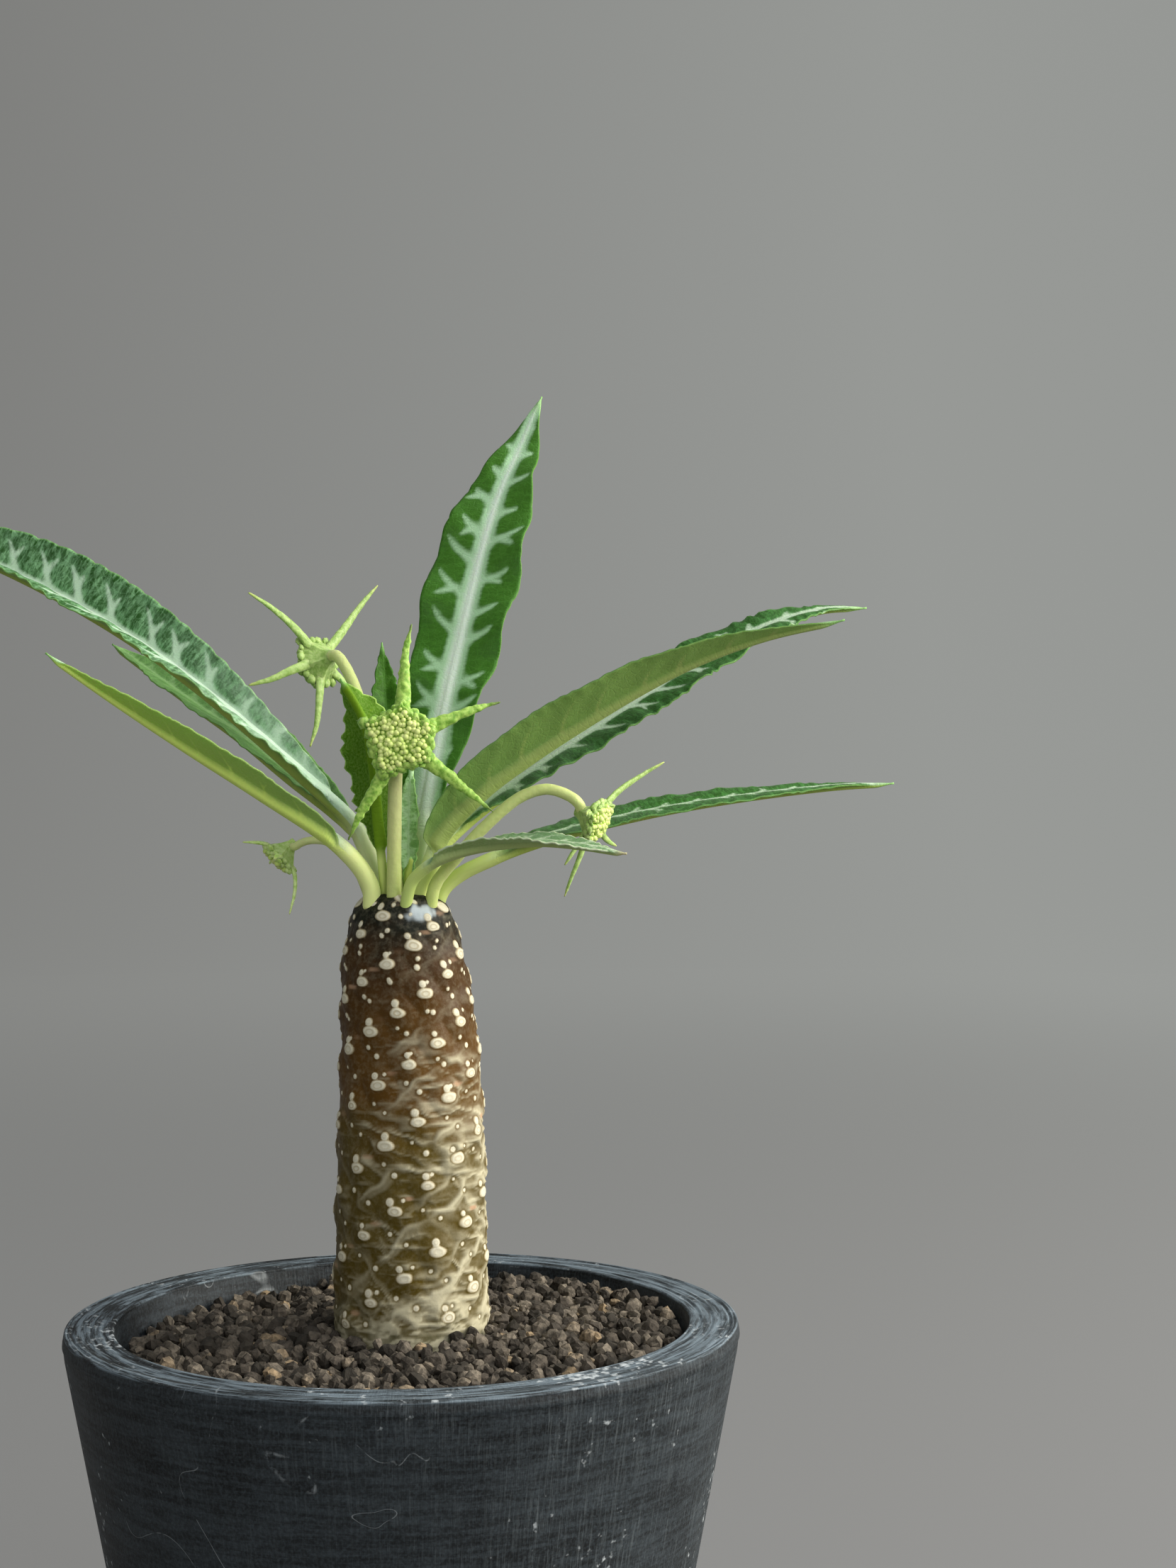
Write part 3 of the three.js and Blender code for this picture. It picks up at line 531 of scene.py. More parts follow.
        # Chips of about 1 mm lie in the scuffed patches, most towards the key light, and along the rim.
        both = add("Math", {0: speck, 1: patch}, operation="MULTIPLY")
        edge = add("Math", {0: rim, 1: 0.055, 2: both}, operation="MULTIPLY_ADD")
        knocked_and_lit = add("Math", {0: rubbed_and_lit, 1: 0.22, 2: edge}, operation="MULTIPLY_ADD")
        chips = add("MapRange", {0: knocked_and_lit, 1: 0.375, 2: 0.45, 3: 0.0, 4: 0.8})
        chipped = add("Mix", {0: chips, 6: turned, 7: self.chip}, data_type="RGBA")
        gloss = add("MapRange", {0: cloud, 1: 0.3, 2: 0.7, 3: 0.5, 4: 0.66})
        relief = add("Math", {0: line, 1: rim, 2: scratch}, operation="MULTIPLY_ADD")
        bump = add("Bump", {"Strength": 0.7, "Distance": 0.0002, "Height": relief})
        return {"Base Color": chipped, "Roughness": gloss, "Specular IOR Level": 0.24,
                "Normal": bump}


@dataclass(frozen=True)
class VolcanicGrit(Finish):
    """Crushed porous lava and fired clay, 2 mm: dull grey-brown crumbs, each of its own tone."""

    name: str = "volcanic_grit"
    dark: str = "#2b2822"
    middle: str = "#514a41"
    light: str = "#7a7163"
    tan: str = "#9a8669"

    def paint(self, add: Add) -> dict:
        """Tone by grain from the mark "tone", mottled and pitted at 0.4 mm, with painted shade in the
        pits.

        Args:
            add: adds a node to the material's tree.

        Returns:
            What goes into its Principled shader's sockets.
        """
        place = add("TexCoord").outputs["Object"]
        tone = add("Attribute", attribute_name="tone").outputs["Fac"]
        stops = ((0.0, self.dark), (0.5, self.middle), (0.86, self.light), (0.93, self.light),
                 (0.985, self.tan))
        grain = add("ValToRGB", {0: tone}, ramp=stops)
        pit = add("TexNoise", {"Vector": place, "Scale": 1300.0, "Detail": 4.0, "Roughness": 0.65})
        # The low places of the pit noise are darkened: painted shade in the pores.
        shade = add("MapRange", {0: pit, 1: 0.36, 2: 0.62, 3: 0.72, 4: 0.0})
        pit_shaded = add("Mix", {0: shade, 6: grain, 7: self.dark}, data_type="RGBA")
        bump = add("Bump", {"Strength": 0.9, "Distance": 0.00025, "Height": pit})
        return {"Base Color": pit_shaded, "Roughness": 0.92, "Specular IOR Level": 0.25,
                "Normal": bump}


@dataclass(frozen=True)
class CorkedStem(Finish):
    """Living skin of a fleshy stem: brown and smooth above, olive with pale cork net below."""

    name: str = "corked_stem_skin"
    crown: str = "#15170c"
    young: str = "#3f2808"
    middle: str = "#573b0c"
    old: str = "#524414"
    foot: str = "#55533a"
    cork: str = "#c6c0a2"
    scar: str = "#d3ceb6"
    ring: str = "#94804f"
    scuff: str = "#ab8a6c"
    # Pale bluish colour of a painted highlight on the shoulder.
    film: str = "#c3cfd2"

    def paint(self, add: Add) -> dict:
        """Brown by height, cork net, scuffs, a painted highlight on the shoulder, and cream scars with a
        brown ring.

        Mark "spots" holds the distance from the nearest scar's edge in millimetres, how far
        out in the scar the point is, from 0 to 1, and the scar's own tone. Mark "cork" holds
        the height of the cork net, from 0 to 1, the scuffs and the height in millimetres.

        Args:
            add: adds a node to the material's tree.

        Returns:
            What goes into its Principled shader's sockets.
        """
        place = add("TexCoord").outputs["Object"]
        spots = add("Attribute", attribute_name="spots").outputs["Vector"]
        marks = add("Attribute", attribute_name="cork").outputs["Vector"]
        spot = add("SeparateXYZ", {0: spots})
        mark = add("SeparateXYZ", {0: marks})
        blotch = add("TexNoise", {"Vector": place, "Scale": 170.0, "Detail": 4.0, "Roughness": 0.6})
        wander = add("Math", {0: blotch, 1: 16.0, 2: mark.outputs[2]}, operation="MULTIPLY_ADD")
        share = add("MapRange", {0: wander, 1: 87.0, 2: 146.0})
        stops = ((0.0, self.foot), (0.1, self.old), (0.42, self.old), (0.6, self.middle),
                 (0.86, self.young), (0.97, self.crown))
        skin = add("ValToRGB", {0: share}, ramp=stops)
        grain = add("TexNoise", {"Vector": place, "Scale": 1500.0, "Detail": 3.0, "Roughness": 0.6})
        grains = add("MapRange", {0: grain, 1: 0.45, 2: 0.75, 3: 0.0, 4: 0.1})
        grained = add("Mix", {0: grains, 6: skin, 7: self.cork}, data_type="RGBA")
        net = add("Math", {0: blotch, 1: 0.2, 2: mark.outputs[0]}, operation="MULTIPLY_ADD")
        nets = add("MapRange", {0: net, 1: 0.16, 2: 1.05, 3: 0.0, 4: 0.8})
        corked = add("Mix", {0: nets, 6: grained, 7: self.cork}, data_type="RGBA")
        scuffed = add("Mix", {0: mark.outputs[1], 6: corked, 7: self.scuff}, data_type="RGBA")
        # A painted highlight: a pale bluish band on the front right of the shoulder.
        film = add("Attribute", attribute_name="film").outputs["Fac"]
        with_highlight = add("Mix", {0: film, 6: scuffed, 7: self.film}, data_type="RGBA")
        around = add("Math", {0: spot.outputs[1], 1: 0.47}, operation="SUBTRACT")
        near = add("Math", {0: around}, operation="ABSOLUTE")
        rings = add("MapRange", {0: near, 1: 0.2, 2: 0.02}, interpolation_type="SMOOTHSTEP")
        within = add("Math", {0: rings, 1: spot.outputs[2]}, operation="MULTIPLY")
        brim = add("MapRange", {0: spot.outputs[1], 1: 0.7, 2: 1.02, 3: 0.0, 4: 0.65},
                   interpolation_type="SMOOTHSTEP")
        depth = add("Math", {0: within, 1: brim}, operation="MAXIMUM")
        scar = add("Mix", {0: depth, 6: self.scar, 7: self.ring}, data_type="RGBA")
        inside = add("MapRange", {0: spot.outputs[0], 1: 0.1, 2: -0.08}, interpolation_type="SMOOTHSTEP")
        scarred = add("Mix", {0: inside, 6: with_highlight, 7: scar}, data_type="RGBA")
        dull = add("Math", {0: nets, 1: 0.25, 2: 0.5}, operation="MULTIPLY_ADD", use_clamp=True)
        bump = add("Bump", {"Strength": 0.35, "Distance": 0.00015, "Height": grain})
        return {"Base Color": scarred, "Roughness": dull, "IOR": 1.45,
                "Specular IOR Level": 0.17, "Normal": bump}


@dataclass(frozen=True)
class LeafSkin(Finish):
    """Living leaf: waxy dark green with a pale midrib above, dull olive and downy beneath."""

    name: str
    dark: str = "#24500f"
    mottle: str = "#48823c"
    vein: str = "#c0d8b8"
    mid: str = "#dbead2"
    margin: str = "#7fae62"
    under: str = "#5c7c38"
    under_tip: str = "#6f9a30"
    keel: str = "#9db052"
    stalk: str = "#c6d77e"
    tip: str = "#7fae62"
    down: str = "#b2cfb2"
    sheen: str = "#dfeee0"
    mottling: float = 0.55
    veining: float = 0.9
    edging: float = 0.35
    frost: float = 0.15
    fading: float = 0.05
    gloss: float = 0.32

    def above(self, add: Add, sheet: bpy.types.NodeSocket,
              mark: bpy.types.Node) -> tuple[bpy.types.Node, bpy.types.Node]:
        """The upper face: dark green, streaked and netted, with pale veins and down.

        Args:
            add: adds a node to the tree.
            sheet: the mark "sheet".
            mark: the mark "marks", taken apart.

        Returns:
            The nodes of its colour and of its net.
        """
        # Streaks run from the midrib to the margin, about 0.8 mm apart.
        ribbed = add("VectorMath", {0: sheet, 1: (1.25, 0.38, 9.0)}, operation="MULTIPLY")
        streak = add("TexNoise", {"Vector": ribbed, "Scale": 1.6, "Detail": 3.0, "Roughness": 0.65,
                                  "Distortion": 0.3})
        streaks = add("MapRange", {0: streak, 1: 0.42, 2: 0.62, 3: 0.0, 4: self.mottling})
        # Net veins enclose cells of 1.1 mm.
        cells = add("TexVoronoi", {"Vector": sheet, "Scale": 0.9}, feature="DISTANCE_TO_EDGE")
        netting = add("MapRange", {0: cells, 1: 0.1, 2: 0.0, 3: 0.0, 4: 0.22})
        paler = add("Math", {0: streaks, 1: netting}, operation="ADD")
        fringe = add("MapRange", {0: mark.outputs[0], 1: 1.3, 2: 0.0, 3: 0.0, 4: self.mottling * 0.6})
        fringes = add("Math", {0: fringe, 1: streak, 2: paler}, operation="MULTIPLY_ADD", use_clamp=True)
        green = add("Mix", {0: fringes, 6: self.dark, 7: self.mottle}, data_type="RGBA")
        rough = add("Math", {0: streak, 1: -0.5, 2: mark.outputs[0]}, operation="MULTIPLY_ADD")
        veined = add("MapRange", {0: rough, 1: self.fading, 2: -0.5, 3: 0.0, 4: self.veining},
                     interpolation_type="SMOOTHSTEP")
        heart = add("MapRange", {0: mark.outputs[0], 1: -0.3, 2: -1.2})
        pale = add("Mix", {0: heart, 6: self.vein, 7: self.mid}, data_type="RGBA")
        veins = add("Mix", {0: veined, 6: green, 7: pale}, data_type="RGBA")
        # A whitish down lies in patches of 2 mm on the lower third.
        young = add("MapRange", {0: mark.outputs[2], 1: 0.5, 2: 0.05, 3: 0.0, 4: self.frost},
                    interpolation_type="SMOOTHSTEP")
        patch = add("TexNoise", {"Vector": sheet, "Scale": 0.55, "Detail": 4.0, "Roughness": 0.7})
        patches = add("MapRange", {0: patch, 1: 0.38, 2: 0.58, 3: 0.35, 4: 1.0})
        frosts = add("Math", {0: young, 1: patches}, operation="MULTIPLY")
        top = add("Mix", {0: frosts, 6: veins, 7: self.down}, data_type="RGBA")
        return top, netting

    def beneath(self, add: Add, sheet: bpy.types.NodeSocket,
                mark: bpy.types.Node) -> tuple[bpy.types.Node, bpy.types.Node]:
        """The lower face: olive that turns to its tip, downy, with a pale keel.

        Args:
            add: adds a node to the tree.
            sheet: the mark "sheet".
            mark: the mark "marks", taken apart.

        Returns:
            The nodes of its colour and of its grain.
        """
        # Down and grain are 0.3 mm.
        grain = add("TexNoise", {"Vector": sheet, "Scale": 3.2, "Detail": 2.0, "Roughness": 0.6})
        olive = add("Mix", {0: mark.outputs[2], 6: self.under, 7: self.under_tip}, data_type="RGBA")
        downy = add("MapRange", {0: grain, 1: 0.35, 2: 0.75, 3: 0.0, 4: 0.25})
        below = add("Mix", {0: downy, 6: olive, 7: self.margin}, data_type="RGBA")
        keels = add("MapRange", {0: mark.outputs[0], 1: 0.25, 2: -0.2}, interpolation_type="SMOOTHSTEP")
        keeled = add("Mix", {0: keels, 6: below, 7: self.keel}, data_type="RGBA")
        return keeled, grain

    def paint(self, add: Add) -> dict:
        """Veins, streaks and net above, grain and keel beneath, and a plain stalk.

        Mark "sheet" holds millimetres along and across the blade and 1 above or 0 beneath.
        Mark "marks" holds the distance from the nearest pale vein's edge and from the margin
        in millimetres, and the share of the blade's length, below 0 on the stalk.

        Args:
            add: adds a node to the material's tree.

        Returns:
            What goes into its Principled shader's sockets.
        """
        sheet = add("Attribute", attribute_name="sheet").outputs["Vector"]
        marks = add("Attribute", attribute_name="marks").outputs["Vector"]
        where = add("SeparateXYZ", {0: sheet})
        mark = add("SeparateXYZ", {0: marks})
        top, netting = self.above(add, sheet, mark)
        keeled, grain = self.beneath(add, sheet, mark)
        blade = add("Mix", {0: where.outputs[2], 6: keeled, 7: top}, data_type="RGBA")
        edge = add("MapRange", {0: mark.outputs[1], 1: 0.28, 2: 0.04, 3: 0.0, 4: self.edging},
                   interpolation_type="SMOOTHSTEP")
        rimmed = add("Mix", {0: edge, 6: blade, 7: self.margin}, data_type="RGBA")
        ends = add("MapRange", {0: mark.outputs[2], 1: 0.93, 2: 1.0}, interpolation_type="SMOOTHSTEP")
        tipped = add("Mix", {0: ends, 6: rimmed, 7: self.tip}, data_type="RGBA")
        foot = add("MapRange", {0: mark.outputs[2], 1: 0.07, 2: -0.03}, interpolation_type="SMOOTHSTEP")
        whole = add("Mix", {0: foot, 6: tipped, 7: self.stalk}, data_type="RGBA")
        gloss = add("MapRange", {0: where.outputs[2], 1: 0.0, 2: 1.0, 3: 0.62, 4: 0.42})
        height = add("Math", {0: netting, 1: -1.5, 2: grain}, operation="MULTIPLY_ADD")
        bump = add("Bump", {"Strength": 0.45, "Distance": 0.00012, "Height": height})
        return {"Base Color": whole, "Roughness": gloss, "IOR": 1.42,
                "Subsurface Weight": 0.12, "Subsurface Radius": (0.0004, 0.0008, 0.0002),
                "Subsurface Scale": 1.0, "Specular IOR Level": self.gloss,
                "Sheen Weight": 0.03, "Sheen Roughness": 0.4, "Sheen Tint": self.sheen,
                "Normal": bump}


@dataclass(frozen=True)
class FlowerFlesh(Finish):
    """Fleshy green of a flower head: grainy, paler on its lumps, tanned on the stalk."""

    name: str
    deep: str = "#76a634"
    fresh: str = "#aed262"
    stalk: str = "#c6c48e"
    stalk_foot: str = "#bccb74"
    tip: str = "#5f7430"
    grain: float = 1700.0

    def paint(self, add: Add) -> dict:
        """Grain of 0.5 mm on the head, tanned stalk, and darker tips to the arms.

        Mark "kind" holds 1 on the stalk, the share along an arm, and the share up the stalk.

        Args:
            add: adds a node to the material's tree.

        Returns:
            What goes into its Principled shader's sockets.
        """
        place = add("TexCoord").outputs["Object"]
        kinds = add("Attribute", attribute_name="kind").outputs["Vector"]
        kind = add("SeparateXYZ", {0: kinds})
        lump = add("TexNoise", {"Vector": place, "Scale": self.grain, "Detail": 2.0, "Roughness": 0.55})
        lumpy = add("MapRange", {0: lump, 1: 0.36, 2: 0.62})
        head = add("Mix", {0: lumpy, 6: self.deep, 7: self.fresh}, data_type="RGBA")
        ends = add("MapRange", {0: kind.outputs[1], 1: 0.8, 2: 1.0}, interpolation_type="SMOOTHSTEP")
        tipped = add("Mix", {0: ends, 6: head, 7: self.tip}, data_type="RGBA")
        stalk = add("Mix", {0: kind.outputs[2], 6: self.stalk_foot, 7: self.stalk}, data_type="RGBA")
        whole = add("Mix", {0: kind.outputs[0], 6: tipped, 7: stalk}, data_type="RGBA")
        bump = add("Bump", {"Strength": 0.5, "Distance": 0.00015, "Height": lump})
        return {"Base Color": whole, "Roughness": 0.5, "IOR": 1.42,
                "Subsurface Weight": 0.2, "Subsurface Radius": (0.0005, 0.0009, 0.0002),
                "Subsurface Scale": 1.0, "Sheen Weight": 0.15, "Normal": bump}


@dataclass(frozen=True)
class FloretBeads(Finish):
    """Close-set tiny florets: moist cream-green beads with greener clefts."""

    name: str = "floret_beads"
    cleft: str = "#acd05c"
    bead: str = "#bfdc70"
    # Colour of the bead tops: a painted highlight.
    top: str = "#d9e88e"

    def paint(self, add: Add) -> dict:
        """Each bead is paler at its top, a painted highlight, by the mark "rise", and has its own tone.

        Args:
            add: adds a node to the material's tree.

        Returns:
            What goes into its Principled shader's sockets.
        """
        rise = add("Attribute", attribute_name="rise").outputs["Fac"]
        tone = add("Attribute", attribute_name="tone").outputs["Fac"]
        # Paler towards each bead's top: painted highlight.
        lift = add("Math", {0: tone, 1: 0.3, 2: rise}, operation="MULTIPLY_ADD")
        stops = ((0.0, self.cleft), (0.55, self.bead), (1.15 / 1.3, self.top))
        share = add("MapRange", {0: lift, 1: 0.0, 2: 1.3})
        bead = add("ValToRGB", {0: share}, ramp=stops)
        return {"Base Color": bead, "Roughness": 0.38, "IOR": 1.4,
                "Subsurface Weight": 0.25, "Subsurface Radius": (0.0005, 0.0006, 0.0003),
                "Subsurface Scale": 1.0}


@dataclass(frozen=True)
class StudioPaper(Finish):
    """Seamless studio paper: plain, pale on the floor and greyer where it turns up."""

    name: str = "studio_paper"
    floor: str = "#7c7d7d"
    wall: str = "#3c3c3c"
    glow_left: str = "#747472"
    glow_right: str = "#929491"
    glow_from: float = -0.1
    glow_to: float = 1.5

    def paint(self, add: Add) -> dict:
        """Pale floor that passes into a softly glowing wall, a little darker on the left.

        The glow stands for a room's own light. It grows with the distance from the plant.

        Args:
            add: adds a node to the material's tree.

        Returns:
            What goes into its Principled shader's sockets.
        """
        place = add("TexCoord").outputs["Object"]
        level = add("SeparateXYZ", {0: place}).outputs["X"]
        away = add("VectorMath", {0: place}, operation="LENGTH")
        share = add("MapRange", {0: away, 1: self.glow_from, 2: self.glow_to},
                    interpolation_type="SMOOTHSTEP")
        paper = add("Mix", {0: share, 6: self.floor, 7: self.wall}, data_type="RGBA")
        side = add("MapRange", {0: level, 1: -0.75, 2: 0.35})
        glow = add("Mix", {0: side, 6: self.glow_left, 7: self.glow_right}, data_type="RGBA")
        # The glow is wide and even, so rays find it by chance and no lamp stands for it.
        bpy.data.materials[self.name].cycles.emission_sampling = "NONE"
        return {"Base Color": paper, "Emission Color": glow, "Emission Strength": share,
                "Roughness": 0.9, "Specular IOR Level": 0.1}


# Pot and gravel


@dataclass
class TurnedPot:
    """Cone that widens upwards, with a broad flat rim, a low band under it and drain holes."""

    height: float = 82.0
    rim_radius: float = 45.0
    top_radius: float = 44.8
    band: float = 1.84
    rim_width: float = 6.5
    foot_radius: float = 30.0
    foot_bevel: float = 1.2
    floor: float = 7.0
    inner_foot: float = 24.5
    rounding: float = 0.35
    turning_pitch: float = 1.0
    turning_depth: float = 0.055
    drain_radius: float = 3.5
    drain_reach: float = 15.0
    drains: int = 3
    drain_columns: int = 48
    drill_past: float = 5.0
    columns: int = 288

    def inner_radius(self, height: Array | float) -> Array:
        """Radius of the inner wall, straight from the floor to the mouth."""
        mouth = self.top_radius - self.rim_width
        return lerp(self.inner_foot, mouth, (height - self.floor) / (self.height - self.floor))

    def profile(self) -> Array:
        """The wall's outline from the middle of the base, up, over the rim and down inside.

        Straight runs are joined by small rounded corners. The rim's top has shallow waves
        of the turning pitch, and a fine groove runs under the band.

        Returns:
            Radius and height of each point.
        """
        mouth = self.top_radius - self.rim_width
        foot = self.height - self.band
        edge = self.rounding
        low = np.linspace(0.02, 0.98, 26)
        wall = np.stack([lerp(self.foot_radius, self.rim_radius, low),
                         lerp(self.foot_bevel, foot, low)], -1)
        turn = np.linspace(0, np.pi / 2, 6)
        outer = np.stack([self.top_radius - edge + edge * np.cos(turn),
                          self.height - edge + edge * np.sin(turn)], -1)
        inner = np.stack([mouth + edge - edge * np.sin(turn),
                          self.height - edge + edge * np.cos(turn)], -1)
        top = np.linspace(self.top_radius - edge - 0.1, mouth + edge + 0.1, 52)
        wave = np.cos(2 * np.pi * top / self.turning_pitch + 1.6 * np.sin(1.7 * top)) - 1
        wave = wave * self.turning_depth * (1 + 0.5 * np.sin(2.9 * top))
        rim = np.stack([top, self.height + wave], -1)
        inside = np.linspace(self.height - 1, self.floor + 0.5, 16)
        band = [(self.rim_radius - 0.14, foot - 0.2), (self.rim_radius - 0.1, foot),
                (self.rim_radius, foot + 0.12), (self.rim_radius - 0.04, foot + 0.6)]
        base = [(0.001, 0.0), (self.foot_radius - self.foot_bevel, 0.0),
                (self.foot_radius - 0.25, 0.3), (self.foot_radius, self.foot_bevel)]
        down = np.stack([self.inner_radius(inside), inside], -1)
        floor = [(self.inner_foot - 0.3, self.floor), (0.001, self.floor)]
        return np.concatenate([base, wall, band, outer, rim, inner, down, floor])

    def skin(self) -> Skin:
        """The profile carried round the axis: (r cos a, r sin a, z) at each azimuth a."""
        outline = self.profile()
        return Skin.tube(polar(outline[:, :1], full_turn(self.columns), outline[:, 1:]))

    def build(self) -> bpy.types.Object:
        """Turn the pot, drill its drain holes, and mark it for its finish.

        The mark "lathe" is (cos a, sin a, z - r) at azimuth a, height z and radius r. It comes
        after the drilling, which would clear it.

        Returns:
            The dressed pot.
        """
        pot = self.skin().made("turned_pot", TurnedStoneware())
        ring = polar(self.drain_radius, full_turn(self.drain_columns), 0.0)
        for way in full_turn(self.drains):
            ends = (-self.drill_past, self.floor + self.drill_past)
            rows = np.stack([ring + polar(self.drain_reach, way, z) for z in ends])
            drill = Skin.tube(rows).made("drill", TurnedStoneware())
            cut = pot.modifiers.new("drain", "BOOLEAN")
            cut.operation, cut.object, cut.solver = "DIFFERENCE", drill, "EXACT"
            with bpy.context.temp_override(object=pot, active_object=pot):
                bpy.ops.object.modifier_apply(modifier=cut.name)
            bpy.data.objects.remove(drill)
        points = np.zeros(len(pot.data.vertices) * 3, np.float32)
        pot.data.vertices.foreach_get("co", points)
        x, y, z = points.reshape(-1, 3).T / MM
        radius = np.hypot(x, y).clip(0.1)
        lathe = np.stack([x / radius, y / radius, z - radius], -1)
        layer = pot.data.attributes.new("lathe", "FLOAT_VECTOR", "POINT")
        layer.data.foreach_set("vector", lathe.astype(np.float32).ravel())
        return pot


@dataclass
class ScarredStem:
    """Thick fleshy stem with a spiral of leaf scars, from its taproot to the crown."""

    heights: tuple[float, ...] = (64, 67, 72, 80, 88, 97, 107, 116, 122, 126, 129.5, 132, 135, 137,
                                  138.4)
    radii: tuple[float, ...] = (3.2, 6.8, 9.3, 10.3, 10.0, 9.85, 9.6, 9.2, 8.8, 8.5, 8.1, 7.6, 6.8,
                                6.2, 5.2)
    dome: Stations = ((138.55, 4.9), (138.75, 4.3), (138.86, 3.6), (138.9, 2.6), (138.9, 1.2))
    lean: float = 1.0
    lean_from: float = 115.0
    lean_to: float = 136.0
    divergence: float = -139.0
    parastichy: int = 13
    low_pitch: float = 8.7
    high_pitch: float = 6.2
    pitch_from: float = 98.0
    pitch_to: float = 130.0
    first: tuple[float, float] = (-94.0, 123.8)
    lowest: float = 82.0
    highest: float = 138.2
    cushion_radius: float = 2.7
    cushion_height: float = 0.42
    scar: tuple[float, float] = (1.08, 0.78)
    companions: Stations = ((-0.5, 1.28, 0.48), (0.85, 1.5, 0.27))
    dots: Stations = ((3.6, 0.5, 0.34), (-4.1, 1.25, 0.37))
    # Where the painted highlight lies: azimuth, height, and its reach round in degrees and up in
    # millimetres.
    film: tuple[float, float, float, float] = (-64.0, 136.6, 19.0, 1.2)
    # The side where cork is thickest faces the key light: its paler cork is partly painted light.
    bare_lit_side: float = -30.0
    bare_lit_mean: float = 0.54
    bare_lit_swing: float = 0.46
    cork_rows: Stations = ((5, 36, 1.0), (8, 30, 0.65), (3, 60, 0.9))
    columns: int = 256
    step: float = 0.25
    seed: int = 7

    def radius(self, height: Array | float) -> Array:
        """Radius at a height, straight between the measured ones."""
        return np.interp(height, self.heights, self.radii)

    def axis(self, height: Array | float) -> Array:
        """How far the stem's middle stands to the right at a height."""
        return self.lean * (1 - smoothstep(height, self.lean_from, self.lean_to))

    def spiral(self) -> Array:
        """Scars above and below the first, each one turn of the divergence on.

        Returns:
            Azimuth in degrees and height of each scar.
        """
        scars = [self.first]
        for way in (1, -1):
            azimuth, height = self.first
            while self.lowest < height < self.highest:
                share = smoothstep(height, self.pitch_from, self.pitch_to)
                pitch = lerp(self.low_pitch, self.high_pitch, share)
                azimuth += way * self.divergence
                height += way * float(pitch) / self.parastichy
                scars.append((azimuth, height))
        return np.array(scars)

    def rings(self) -> tuple[Array, Array]:
        """Radius and height of each ring from the taproot over the crown."""
        buried = np.linspace(self.heights[0], 78, 9)
        shown = np.arange(78.3, self.heights[-1], self.step)
        dome = np.array(self.dome)
        height = np.concatenate([buried, shown, dome[:, 0]])
        smooth = np.array([self.radius(height + d) for d in (-1.2, -0.6, 0, 0.6, 1.2)]).mean(axis=0)
        radius = np.where((height > 70) & (height < 136), smooth, self.radius(height))
        radius[-len(dome):] = dome[:, 1]
        return radius, height

    def scarring(self, turn: Array, z: Array, size: Array, around: Array) -> tuple[Array, ...]:
        """What the leaf scars make of the surface.

        A scar sits on a cushion that rises by cos(π/2 · distance over the cushion's radius).
        It is an oval, lower in its lower half, and one or two round companions and two dots
        lie near it. Each is drawn by its own chances.

        Args:
            turn: the azimuth of each column, in radians.
            z: the height of each point.
            size: the radius of each ring.
            around: each point's place on the plain stem.

        Returns:
            The cushions' rise, the distance from the nearest scar's edge, how far out in the
            scar a point is, the scar's tone, and the scuffs.
        """
        random = np.random.default_rng(self.seed)
        rise = np.zeros(z.shape)
        edge = np.full(z.shape, 9.0)
        within = np.full(z.shape, 3.0)
        tone = np.zeros(z.shape)
        scuff = np.zeros(z.shape)
        warp = 0.16 * noise(around * 1.3, 21)
        for azimuth, level in self.spiral():
            chance = random.random(12)
            offset = np.degrees(turn) - azimuth
            across = np.radians((offset + 180) % 360 - 180) * size
            up = z - level
            rise = np.maximum(rise, self.cushion_height * np.cos(
                np.clip(np.hypot(across, up) / self.cushion_radius, 0, 1) * np.pi / 2))
            wide, tall = (half * (0.86 + 0.24 * chance[0]) for half in self.scar)
            away = np.hypot(across / wide, up / np.where(up > 0, tall, 0.82 * tall)) + warp
            edge = np.minimum(edge, (away - 1) * tall)
            tone = np.where(away < within, 0.1 + 0.45 * chance[1], tone)
            within = np.minimum(within, away)
            for side, lift, half in self.companions[:1 + (chance[10] > 0.5)]:
                half = half * (0.8 + 0.4 * chance[2])
                near = np.hypot(across - side * (0.3 + 1.2 * chance[3]), up - lift)
                edge = np.minimum(edge, near - half + warp * 0.6)
                tone = np.where(near / half < within, 0.2 * chance[4], tone)
                within = np.minimum(within, near / half)
            for n, (side, lift, half) in enumerate(self.dots):
                jog = chance[5 + 2 * n:7 + 2 * n] - 0.5
                half = half * (0.75 + 0.4 * chance[9 + n])
                near = np.hypot(across - side - 0.7 * jog[0], up - lift - 0.7 * jog[1])
                edge = np.minimum(edge, near - half + warp * 0.3)
                tone = np.where(near / half < within, 0, tone)
                within = np.minimum(within, near / half)
            if chance[11] > 0.35:
                mark = np.hypot((across - 1.6) / 0.95, (up - 1.7) / 0.32) + warp
                scuff = np.maximum(scuff, (1 - smoothstep(mark, 0.5, 1.2)) * chance[7])
        return rise, edge, within, tone, scuff

